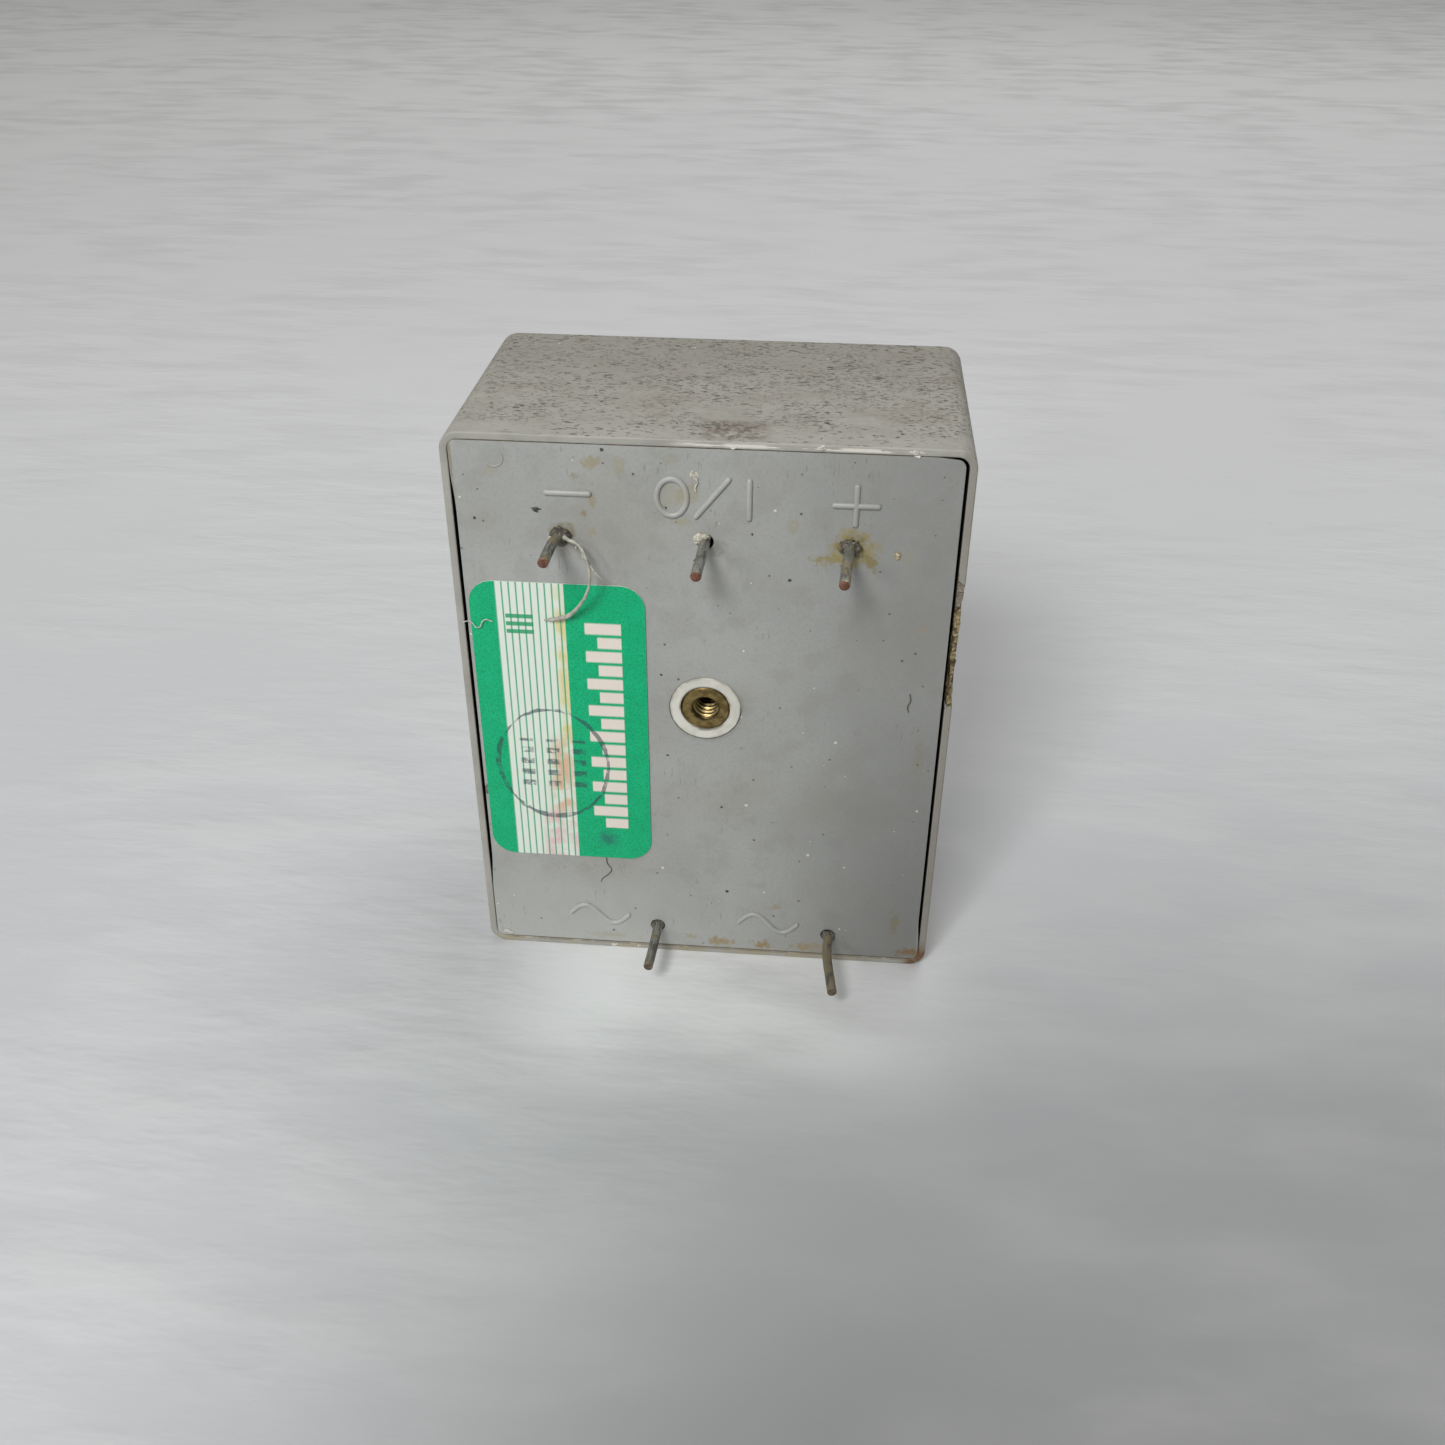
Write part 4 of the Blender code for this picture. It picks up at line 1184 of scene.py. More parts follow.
@dataclass(frozen=True)
class PaleBoard(Finish):
    """Painted board: nearly white, with soft creases, faint brush marks and a few specks."""

    base: str = "#D3D5D6"
    shade: str = "#CBCDCE"
    mark: str = "#B9BABA"
    # The next four greys are painted shade, a painted shadow, painted light and a painted pool of
    # light.
    near: str = "#BEC0C3"
    painted_front_shadow: str = "#ABADAE"
    far: str = "#E8EAEB"
    painted_light_pool: str = "#F0F2F3"

    def paint(self, look: Look) -> None:
        """Creases in wide patches, over fine brush marks along X, and painted light and shade.

        Args:
            look: the material.
        """
        marks = look.cloud(9.0, 0.35, 0.7, 4, (2.6, 1, 1))
        wide = look.cloud(38.0, 0.36, 0.56, 3, (1.4, 1, 1), shift=1.4)
        fine = look.cloud(1.2, 0.4, 0.75, 3, (3, 1, 1), shift=3.0)
        specks = look.grains(16.0, 0.45, 0.3, (2, 1, 1))
        # Painted shade: darker towards the front, with a painted shadow at the front right.
        front = look.zone(Axis.Y, -900, 60, 200)
        foot = look.both(look.zone(Axis.Y, -900, -58, 26), look.zone(Axis.X, -12, 60, 40))
        # Painted light: a paler pool beside the relay.
        beside = look.both(look.zone(Axis.Y, -31, 0, 18), look.zone(Axis.X, -18, 22, 20))
        colour = look.layers(
            self.base,
            [
                # Painted light far off, then painted shade and shadow near, and the pool of light.
                (look.zone(Axis.Y, 400, 9000, 460), self.far),
                (front, self.near),
                (look.both(foot, 0.7), self.painted_front_shadow),
                (beside, self.painted_light_pool),
                (look.both(marks, wide, 0.6), self.shade),
                (look.both(specks, 0.4), self.mark),
            ],
        )
        look.dress(colour, look.layers(0.6, [(marks, 0.5)]), Specular_IOR_Level=0.3)
        look.relief([(look.both(marks, wide), 0.22), (fine, 0.02)])


# ---------------------------------------------------------------------------------------------
# Shapes


def block(low: Sequence[float], high: Sequence[float]) -> Shape:
    """A box.

    Args:
        low: its lowest corner, in millimetres.
        high: its highest corner.
    Returns:
        The box.
    """
    shape = bmesh.new()
    bmesh.ops.create_cube(shape, size=1)
    size = [(b - a) * MM for a, b in zip(low, high)]
    middle = [(a + b) / 2 * MM for a, b in zip(low, high)]
    bmesh.ops.scale(shape, vec=size, verts=shape.verts)
    bmesh.ops.translate(shape, vec=middle, verts=shape.verts)
    return shape


def soften(shape: Shape, edges: Iterable[bmesh.types.BMEdge], radius: float, steps: int) -> None:
    """Rounds edges of a shape.

    Args:
        shape: the shape.
        edges: its edges to round.
        radius: how far the rounding reaches, in millimetres.
        steps: how many faces make it.
    """
    bmesh.ops.bevel(
        shape,
        geom=list(edges),
        offset=radius * MM,
        segments=steps,
        profile=0.5,
        affect="EDGES",
        clamp_overlap=True,
        material=-1,
    )


def runs_along(edge: bmesh.types.BMEdge, axis: Axis) -> bool:
    """Whether an edge runs along one axis only.

    Args:
        edge: the edge.
        axis: the axis.
    Returns:
        True if it does.
    """
    span = edge.verts[0].co - edge.verts[1].co
    return all(abs(span[a.value]) < 1e-7 for a in Axis if a is not axis)


def roughen(shape: Shape, amount: float, size: float, seed: float = 0.0) -> None:
    """Makes a surface uneven.

    Args:
        shape: the shape, fine enough to take the pattern.
        amount: how far a point may move, in millimetres.
        size: the bumps' size, in millimetres.
        seed: moves the pattern.
    """
    shape.normal_update()
    shift = Vector((seed, -seed, seed))
    moves = [
        vert.normal * (noise.noise(vert.co / (size * MM) + shift) * amount * MM)
        for vert in shape.verts
    ]
    for vert, move in zip(shape.verts, moves):
        vert.co += move


def mend(shape: Shape) -> Shape:
    """Merges doubled points and turns all faces outwards.

    Args:
        shape: the shape.
    Returns:
        The same shape.
    """
    bmesh.ops.remove_doubles(shape, verts=shape.verts, dist=0.002 * MM)
    bmesh.ops.recalc_face_normals(shape, faces=shape.faces)
    return shape


def spun(profile: Sequence[Place], middle: Place, sides: int) -> Shape:
    """A profile turned round an axis along Y.

    Args:
        profile: (radius, y) in millimetres. One that starts and ends on the axis makes a solid,
            and any other is closed into a ring.
        middle: the axis's (x, z).
        sides: how many faces go round.
    Returns:
        The shape.
    """
    shape = bmesh.new()
    x, z = middle
    corners = [shape.verts.new(Vector((x + r, y, z)) * MM) for r, y in profile]
    pairs = list(zip(corners, corners[1:]))
    if profile[0][0] > 0:
        pairs.append((corners[-1], corners[0]))
    for pair in pairs:
        shape.edges.new(pair)
    bmesh.ops.spin(
        shape,
        geom=shape.verts[:] + shape.edges[:],
        cent=Vector((x, 0, z)) * MM,
        axis=(0, 1, 0),
        angle=math.tau,
        steps=sides,
        use_merge=True,
    )
    return mend(shape)


def swept(
    path: Sequence[Sequence[float]],
    radii: Sequence[float],
    sides: int = 16,
    rounded: bool = True,
    closed: bool = False,
) -> Shape:
    """A round string along a path, in millimetres.

    Args:
        path: its points.
        radii: its radius at each.
        sides: how many faces go round, a multiple of 4.
        rounded: True for a smooth curve through the points, False for straight runs.
        closed: True for a loop.
    Returns:
        The shape, with closed ends.
    """
    curve = bpy.data.curves.new("string", "CURVE")
    curve.dimensions = "3D"
    curve.bevel_depth = MM
    curve.bevel_resolution = (sides - 4) // 2
    curve.resolution_u = 6
    curve.use_fill_caps = not closed
    spline = curve.splines.new("BEZIER" if rounded else "POLY")
    points = spline.bezier_points if rounded else spline.points
    points.add(len(path) - 1)
    for point, spot, radius in zip(points, path, radii):
        if rounded:
            point.co = Vector(spot) * MM
            point.handle_left_type = point.handle_right_type = "AUTO"
        else:
            point.co = (*(Vector(spot) * MM), 1)
        point.radius = radius
    spline.use_cyclic_u = closed
    holder = bpy.data.objects.new("string", curve)
    mesh = bpy.data.meshes.new_from_object(holder)
    shape = bmesh.new()
    shape.from_mesh(mesh)
    bpy.data.objects.remove(holder)
    bpy.data.curves.remove(curve)
    bpy.data.meshes.remove(mesh)
    return mend(shape)


def bead(path: Sequence[Sequence[float]], radius: float, sides: int = 16) -> Shape:
    """A round bead along a path, in millimetres, with domed ends.

    Args:
        path: its points.
        radius: its radius.
        sides: how many faces go round, a multiple of 4.
    Returns:
        The bead.
    """
    points = [Vector(spot) for spot in path]
    turns = [math.radians(a) for a in (8, 25, 45, 68)]

    def dome(end: Vector, inner: Vector) -> list[tuple[Vector, float]]:
        """The dome past one end: places and radii, from its tip inwards."""
        way = (end - inner).normalized()
        return [(end + way * radius * math.cos(t), radius * math.sin(t)) for t in turns]

    start, stop = dome(points[0], points[1]), dome(points[-1], points[-2])
    ringed = start + [(point, radius) for point in points] + stop[::-1]
    return swept([spot for spot, _ in ringed], [r for _, r in ringed], sides, rounded=False)


def carved(shape: Shape, cutters: Iterable[Shape]) -> Shape:
    """A shape with others cut out of it.

    Args:
        shape: the shape, which is used up.
        cutters: the shapes to cut away, which are used up.
    Returns:
        What is left.
    """
    things = []
    for part in (shape, *cutters):
        mesh = bpy.data.meshes.new("carving")
        part.to_mesh(mesh)
        part.free()
        things.append(bpy.data.objects.new("carving", mesh))
        bpy.context.scene.collection.objects.link(things[-1])
    for cutter in things[1:]:
        modifier = things[0].modifiers.new("cut", "BOOLEAN")
        modifier.operation = "DIFFERENCE"
        modifier.solver = "EXACT"
        modifier.object = cutter
    graph = bpy.context.evaluated_depsgraph_get()
    mesh = bpy.data.meshes.new_from_object(things[0].evaluated_get(graph))
    left = bmesh.new()
    left.from_mesh(mesh)
    bpy.data.meshes.remove(mesh)
    for thing in things:
        spent = thing.data
        bpy.data.objects.remove(thing)
        bpy.data.meshes.remove(spent)
    return left


def merged(shapes: Iterable[Shape]) -> Shape:
    """Several shapes as one, each keeping its own skin.

    Args:
        shapes: the shapes, which are used up.
    Returns:
        The whole.
    """
    whole = bmesh.new()
    for part in shapes:
        mesh = bpy.data.meshes.new("part")
        part.to_mesh(mesh)
        part.free()
        whole.from_mesh(mesh)
        bpy.data.meshes.remove(mesh)
    return whole


def settle(
    name: str,
    shape: Shape,
    finishes: Sequence[Finish],
    stands_for: Sequence[str] = (),
    crease: float = 35.0,
) -> Thing:
    """Makes a shape into a piece that rides on the relay.

    Args:
        name: the piece's name.
        shape: its shape, which is used up.
        finishes: its finishes, in the order of its faces' material numbers.
        stands_for: the CAD nodes that it is shown instead of.
        crease: the angle past which an edge stays sharp, in degrees.
    Returns:
        The piece.
    """
    mesh = bpy.data.meshes.new(name)
    shape.to_mesh(mesh)
    shape.free()
    for finish in finishes:
        mesh.materials.append(finish.material())
    mesh.shade_smooth()
    mesh.set_sharp_from_angle(angle=math.radians(crease))
    piece = bpy.data.objects.new(name, mesh)
    bpy.context.scene.collection.objects.link(piece)
    # Wide flat faces keep their own shading next to a narrow rounded edge.
    piece.modifiers.new("flat_faces", "WEIGHTED_NORMAL").keep_sharp = True
    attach(piece, BODY)
    if stands_for:
        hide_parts(*stands_for)
    LOG.info("%s: %d faces, %s", name, len(mesh.polygons), finishes[0].name)
    return piece


# ---------------------------------------------------------------------------------------------
# Sub-assemblies


@dataclass
class Case:
    """The moulded case, open towards -Y, with a piece broken from its rim. Sizes in millimetres."""

    corner: float = 1.7
    wall: float = 0.7
    end_wall: float = 1.2
    rim_round: float = 0.14
    chip_low: float = 32.1
    chip_high: float = 44.4
    finish: MouldedCaseGrey = MouldedCaseGrey("moulded_case", "case_plastic")

    def shell(self) -> Shape:
        """The case as moulded.

        Returns:
            Its shape.
        """
        low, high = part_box("case_shell")
        shape = block(low / MM, high / MM)
        soften(shape, [e for e in shape.edges if max(v.co.y for v in e.verts) > 0], self.corner, 10)
        mouth = min(shape.faces, key=lambda face: face.calc_center_median().y)
        rim = mouth.edges[:]
        bmesh.ops.inset_region(shape, faces=[mouth], thickness=self.wall * MM)
        rim += mouth.edges[:]
        inside = bmesh.ops.extrude_face_region(shape, geom=[mouth])["geom"]
        bmesh.ops.delete(shape, geom=[mouth], context="FACES")
        depth = high.y - low.y - self.end_wall * MM
        floor = [item for item in inside if isinstance(item, bmesh.types.BMVert)]
        bmesh.ops.translate(shape, vec=(0, depth, 0), verts=floor)
        bmesh.ops.recalc_face_normals(shape, faces=shape.faces)
        soften(shape, [e for e in rim if e.is_valid], self.rim_round, 3)
        return shape

    def rough_cutter(
        self, low: Sequence[float], high: Sequence[float], lean: float, seed: float
    ) -> Shape:
        """A rough block that breaks material away.

        Args:
            low: its lowest corner, in millimetres.
            high: its highest corner.
            lean: how much further up its inner side goes than its outer side.
            seed: the pattern of its surface.
        Returns:
            The cutter.
        """
        shape = block(low, high)
        middle = Vector([(a + b) / 2 * MM for a, b in zip(low, high)])
        for vert in shape.verts:
            if vert.co.z > middle.z and vert.co.x < middle.x:
                vert.co.z += lean * MM
        upright = [e for e in shape.edges if abs(e.verts[0].co.z - e.verts[1].co.z) > 2 * MM]
        bmesh.ops.subdivide_edges(shape, edges=upright, cuts=40, use_grid_fill=True)
        across = [e for e in shape.edges if not runs_along(e, Axis.Z)]
        bmesh.ops.subdivide_edges(shape, edges=across, cuts=3, use_grid_fill=True)
        roughen(shape, 0.2, 1.1, seed)
        roughen(shape, 0.08, 0.35, seed + 3)
        return mend(shape)

    def cutters(self) -> list[Shape]:
        """What has broken away: the rim's front, its outer skin and its inner lip, and a crack.

        Returns:
            The shapes to cut away.
        """
        low, high = self.chip_low, self.chip_high
        crack = block((22.0, -14.2, -0.04), (23.2, -12.9, 0.04))
        turn = Matrix.Rotation(math.radians(-52), 3, "Y")
        middle = Vector((22.6, -13.5, 0)) * MM
        bmesh.ops.rotate(crack, cent=middle, matrix=turn, verts=crack.verts)
        bmesh.ops.translate(crack, vec=(0, 0, 42.1 * MM), verts=crack.verts)
        return [
            self.rough_cutter((21.9, -14.4, low), (23.4, -13.25, high - 0.2), 1.2, 1.0),
            self.rough_cutter((22.72, -14.4, low + 0.3), (23.4, -12.1, high - 0.4), 0.0, 4.0),
            self.rough_cutter((21.9, -14.4, low - 0.4), (22.36, -12.3, 39.0), 0.8, 7.0),
            crack,
        ]

    def build(self) -> None:
        """Makes the case."""
        settle("moulded_case", carved(self.shell(), self.cutters()), [self.finish], ["case_shell"])


STAINS = (
    Stain(-9.8, 54.8, 1.0, 0.75, "#918659", 0.6),
    Stain(-11.3, 53.5, 0.5, 0.4, "#8A8058", 0.55),
    Stain(-7.4, 54.6, 0.6, 1.1, "#979072", 0.5),
    Stain(-18.6, 53.6, 0.8, 0.7, "#9A9479", 0.4),
    Stain(-2.9, 55.4, 0.9, 0.5, "#97906E", 0.45),
    Stain(-9.8, 51.3, 0.4, 0.9, "#8E8357", 0.6),
    Stain(-10.6, 50.0, 0.35, 0.4, "#84784C", 0.65),
    Stain(-9.9, 48.3, 0.6, 0.5, "#97906F", 0.55),
    Stain(-1.4, 52.2, 1.2, 1.6, "#989171", 0.5),
    Stain(-3.0, 51.9, 1.2, 1.6, "#9B9577", 0.35),
    Stain(-2.0, 49.6, 1.2, 0.5, "#989171", 0.5),
    Stain(-12.6, 48.4, 1.5, 0.9, "#817856", 0.65),
    Stain(-11.8, 46.9, 1.3, 1.0, "#8C8876", 0.4),
    Stain(0.9, 47.2, 1.2, 0.9, "#6F6B60", 0.45),
    Stain(7.6, 49.6, 0.7, 0.8, "#969077", 0.45),
    Stain(12.9, 47.6, 2.5, 2.0, "#90834D", 0.85, 0.5, 0.5),
    Stain(12.8, 47.8, 1.5, 1.2, "#6A5D33", 0.8, 0.6, 0.6),
    Stain(10.6, 46.5, 1.6, 0.6, "#8C7F4B", 0.8, 0.6, 0.5),
    Stain(14.6, 46.3, 0.7, 1.0, "#867947", 0.8, 0.6, 0.5),
    Stain(17.6, 47.0, 0.8, 0.7, "#969078", 0.4),
    Stain(19.5, 5.6, 0.8, 1.9, "#7D7350", 0.6, 0.5, 0.7),
    Stain(20.2, 26.0, 0.7, 3.5, "#857C5C", 0.35, 0.5, 0.9),
    Stain(19.4, 40.0, 0.8, 0.5, "#A08A68", 0.3),
    Stain(1.6, 1.6, 1.7, 0.7, "#958151", 0.8, 0.6, 0.7),
    Stain(-1.5, 2.1, 1.0, 0.5, "#9A8C5E", 0.6, 0.6, 0.8),
    Stain(6.0, 1.5, 1.6, 0.7, "#907947", 0.85, 0.6, 0.7),
    Stain(10.6, 1.5, 2.6, 0.8, "#958151", 0.75, 0.6, 0.7),
    Stain(-10.0, 1.6, 3.4, 0.7, "#9D9473", 0.45, 0.6, 0.9),
    Stain(21.2, 1.5, 1.5, 0.9, "#7D6038", 0.9, 0.6, 0.8),
    Stain(7.3, 6.7, 0.6, 0.5, "#8F8257", 0.5),
    Stain(-14.8, 50.2, 0.38, 0.3, "#1F1D1B", 0.95, 0.6, 0.2),
    Stain(-21.6, 19.8, 0.5, 0.7, "#3F3B35", 0.8, 0.5, 0.4),
    Stain(0.1, 30.4, 3.8, 3.75, "#77756C", 0.55, 0.05, 0.16),
)


@dataclass
class BasePlate:
    """The plate in the mouth, its raised marks and the gap round it. Sizes in millimetres."""

    width: float = 43.92
    height: float = 55.35
    foot_z: float = 0.9
    thickness: float = 1.3
    corner: float = 0.8
    edge_round: float = 0.09
    gap: float = 0.17
    wider: float = 0.07
    hole_radius: float = 0.76
    bore_radius: float = 3.4
    insert_z: float = 30.48
    mark_radius: float = 0.28
    wave_radius: float = 0.27
    wave_width: float = 6.0
    wave_height: float = 1.1
    pin_places: tuple[Place, ...] = (
        (-12.7, 47.8), (0, 47.8), (12.7, 47.8), (-5.0, 3.35), (12.7, 3.35),
    )
    finish: MouldedPlateGrey = MouldedPlateGrey("moulded_plate", "plate_plastic", STAINS)

    def spread(self, x: float, z: float) -> Place:
        """How far a point of the outline moves out, where the plate touches the rim.

        The gap stays open along both sides and round the upper right corner, and the plate meets
        the rim along its top and its foot.

        Args:
            x: the point's place.
            z: the point's place.
        Returns:
            The move along x and z.
        """

        def rise(value: float, start: float, end: float) -> float:
            """A smooth step from 0 at the start to 1 at the end."""
            share = min(1.0, max(0.0, (value - start) / (end - start)))
            return share * share * (3 - 2 * share)

        half, top = self.width / 2, self.foot_z + self.height
        sideways = upwards = 0.0
        if x < 1 - half:
            sideways = self.wider - (self.gap + self.wider) * (1 - rise(z, 7, 12) + rise(z, 50, 54))
        if x > half - 1:
            sideways = -self.wider + (self.gap + self.wider) * (1 - rise(z, 2, 6))
        if z > top - 1:
            upwards = self.gap * (1 - rise(x, half - 2.4, half - 1.0))
        if z < self.foot_z + 1:
            upwards = -self.gap
        return sideways, upwards

    def plate(self) -> Shape:
        """The plate, with its rounded front edge and its holes.

        Returns:
            Its shape.
        """
        half = self.width / 2
        shape = block(
            (-half, FACE_Y, self.foot_z), (half, FACE_Y + self.thickness, self.foot_z + self.height)
        )
        soften(shape, [e for e in shape.edges if runs_along(e, Axis.Y)], self.corner, 8)
        long_edges = [e for e in shape.edges if e.calc_length() > 20 * MM]
        bmesh.ops.subdivide_edges(shape, edges=long_edges, cuts=48, use_grid_fill=True)
        for vert in shape.verts:
            sideways, upwards = self.spread(vert.co.x / MM, vert.co.z / MM)
            vert.co += Vector((sideways, 0, upwards)) * MM
        facing = [e for e in shape.edges if all(v.co.y < (FACE_Y + 0.1) * MM for v in e.verts)]
        outline = [e for e in facing if any(f.normal.y > -0.9 for f in e.link_faces)]
        soften(shape, outline, self.edge_round, 2)
        front, back = FACE_Y - 1, FACE_Y + 3
        drills = [(self.hole_radius, place, 32) for place in self.pin_places]
        drills.append((self.bore_radius, (0, self.insert_z), 72))
        return carved(
            shape,
            [
                spun([(0, front), (radius, front), (radius, back), (0, back)], place, sides)
                for radius, place, sides in drills
            ],
        )

    def marks(self) -> Shape:
        """The raised marks: minus, ring, slash, bar, plus and two waves.

        Returns:
            Their shape, each mark with its own skin.
        """

        def on_face(places: Iterable[Place], sunk: float = 0.0) -> list[Vector]:
            """Points on the plate's face, or that far below it."""
            return [Vector((x, FACE_Y + sunk, z)) for x, z in places]

        strokes = [
            ((-13.8, 51.9), (-10.1, 51.9)),
            ((12.95, 53.5), (12.95, 50.0)),
            ((11.1, 51.75), (14.8, 51.75)),
            ((2.0, 53.7), (-0.8, 50.2)),
            ((3.8, 53.6), (3.8, 50.2)),
        ]
        beads = [bead(on_face(ends), self.mark_radius) for ends in strokes]
        turns = [math.tau * step / 48 for step in range(48)]
        ring = [(-2.9 + 1.3 * math.cos(t), 51.9 + 1.7 * math.sin(t)) for t in turns]
        radii = [self.mark_radius] * len(ring)
        beads.append(swept(on_face(ring), radii, rounded=False, closed=True))
        for x in (-11.05, 6.45):
            wave = [
                (x + (s / 40 - 0.5) * self.wave_width,
                 4.5 + self.wave_height * math.sin(math.tau * s / 40))
                for s in range(41)
            ]
            beads.append(bead(on_face(wave), self.wave_radius))
        # A faint arc is left by the moulding gate.
        arc = turns[30:] + turns[:8]
        gate = [(-18.2 + 0.8 * math.cos(t), 54.9 + 0.8 * math.sin(t)) for t in arc]
        beads.append(bead(on_face(gate, 0.05), 0.12))
        return merged(beads)

    def build(self) -> None:
        """Makes the plate and its marks."""
        settle("moulded_base_plate", self.plate(), [self.finish], ["base_plate"])
        settle("raised_marks", self.marks(), [self.finish])


@dataclass(frozen=True)
class Crust:
    """A lump of residue on the base plate: its middle and its size, in millimetres."""

    name: str
    x: float
    z: float
    wide: float
    high: float
    proud: float
    finish: Residue
    rough: float = 0.2
    seed: float = 0.0

    def build(self) -> None:
        """Makes the lump, flat where it lies on the plate."""
        shape = bmesh.new()
        bmesh.ops.create_icosphere(shape, subdivisions=4, radius=1.0)
        size = Vector((self.wide, self.proud, self.high)) * MM
        bmesh.ops.scale(shape, vec=size, verts=shape.verts)
        middle = Vector((self.x, FACE_Y, self.z)) * MM
        bmesh.ops.translate(shape, vec=middle, verts=shape.verts)
        roughen(shape, self.rough, 0.45, self.seed)
        roughen(shape, self.rough / 2, 0.18, self.seed + 5)
        bmesh.ops.bisect_plane(
            shape,
            geom=shape.verts[:] + shape.edges[:] + shape.faces[:],
            plane_co=Vector((0, FACE_Y + 0.02, 0)) * MM,
            plane_no=(0, 1, 0),
            clear_outer=True,
        )
        rim = [e for e in shape.edges if e.is_boundary]
        bmesh.ops.holes_fill(shape, edges=rim)
        settle(self.name, mend(shape), [self.finish], crease=60)


@dataclass(frozen=True)
class Pin:
    """A wire pin: its place on the board and the points that it passes outside, in millimetres."""

    name: str
    x: float
    z: float
    outside: tuple[Point, ...]
    flux_amount: float = 0.15
    dark_tip: bool = False

    def path(self) -> list[Vector]:
        """Its centre line, from behind the board to its tip.

        Returns:
            The line's points in millimetres, with its corners cut.
        """
        line = [Vector((self.x, -7.6, self.z)), Vector((self.x, -9.8, self.z))]
        line += [Vector((x, FACE_Y - reach, z)) for x, reach, z in self.outside]
        softer = [line[0]]
        for before, after in zip(line, line[1:]):
            softer += [before.lerp(after, 0.25), before.lerp(after, 0.75)]
        return softer + [line[-1]]

    def build(self, radius: float) -> None:
        """Makes the wire, with its cut tip in bare copper.

        Args:
            radius: the wire's radius.
        """
        path = self.path()
        shape = swept(path, [radius] * len(path), 24)
        tip, way = path[-1] * MM, (path[-1] - path[-2]).normalized()

        def at_tip(face: bmesh.types.BMFace, facing: float) -> bool:
            """True for a face at the tip that faces along the wire by that much or more."""
            near = (face.calc_center_median() - tip).length < 1.1 * radius * MM
            return near and face.normal.dot(way) > facing

        cap = [face for face in shape.faces if at_tip(face, 0.99)]
        cut = bmesh.ops.dissolve_faces(shape, faces=cap)["region"][0]
        soften(shape, cut.edges, 0.05, 2)
        shape.normal_update()
        for face in shape.faces:
            if at_tip(face, 0.6):
                face.material_index = 1
        tin = TinnedWire(f"tinned_{self.name}", "tinned_copper", flux_amount=self.flux_amount)
        copper = CutCopper(f"cut_{self.name}", "tinned_copper")
        if self.dark_tip:
            copper = CutCopper(f"cut_{self.name}", "tinned_copper", "#6A5D50", "#4A4038", "#877868")
        settle(f"wire_{self.name}", shape, [tin, copper], [self.name], crease=40)


@dataclass
class Pins:
    """The five pins and the residue round their roots."""

    radius: float = 0.475
    pins: tuple[Pin, ...] = (
        Pin("pin_minus", -12.7, 47.8,
            ((-12.8, 0, 47.8), (-13.1, 0.9, 47.8), (-13.2, 2.2, 47.9), (-13.2, 6.0, 48.1)), 0.3),
        Pin("pin_control", 0, 47.8, ((0, 0, 47.8), (-0.05, 2.5, 47.8), (-0.19, 6.7, 47.8)), 0.1),
        Pin("pin_plus", 12.7, 47.8,
            ((12.6, 0, 47.8), (12.4, 3.0, 47.75), (12.22, 6.85, 47.65)), 0.35),
        Pin("pin_load_left", -5.0, 3.35,
            ((-4.95, 0, 3.35), (-5.05, 3.0, 3.35), (-5.23, 6.4, 3.35)), 0.2, True),
        Pin("pin_load_right", 12.7, 3.35,
            ((12.75, 0, 3.3), (12.68, 2.5, 3.3), (12.78, 4.2, 3.3), (13.32, 8.3, 3.2)), 0.5, True),
    )
    amber: Residue = Residue(
        "rosin_flux", "resin", "#A9A083", "#857958", "#CBC4AC", 0.5, 0.2
    )
    dark: Residue = Residue(
        "burnt_flux", "resin", "#5A564B", "#2A2722", "#928C7C", 0.4, 0.45
    )
    white: Residue = Residue(
        "white_crust", "nylon", "#C4C0B2", "#8E8875", "#E2DFD5", 0.4, 0.6
    )

    def build(self) -> None:
        """Makes the pins and their residue."""
        for pin in self.pins:
            pin.build(self.radius)
        crusts = [
            Crust("minus_root_crust", -12.75, 47.85, 0.95, 0.85, 0.75, self.dark, 0.25, 1.0),
            Crust("minus_root_flux", -13.3, 47.6, 0.6, 0.55, 0.7, self.white, 0.25, 2.0),
            Crust("control_root_crust", -0.35, 48.1, 0.75, 0.6, 0.45, self.white, 0.3, 3.0),
            Crust("plus_root_crust", 12.6, 47.8, 0.95, 0.8, 0.6, self.dark, 0.3, 4.0),
            Crust("plus_flux_drop", 16.75, 47.25, 0.3, 0.4, 0.22, self.amber, 0.12, 6.0),
            Crust("white_flake", -0.9, 53.9, 0.42, 0.4, 0.1, self.white, 0.2, 9.0),
            Crust("load_left_root", -5.0, 3.4, 0.72, 0.66, 0.3, self.dark, 0.1, 7.0),
            Crust("load_right_root", 12.75, 3.35, 0.74, 0.68, 0.55, self.dark, 0.15, 8.0),
        ]
        for crust in crusts:
            crust.build()


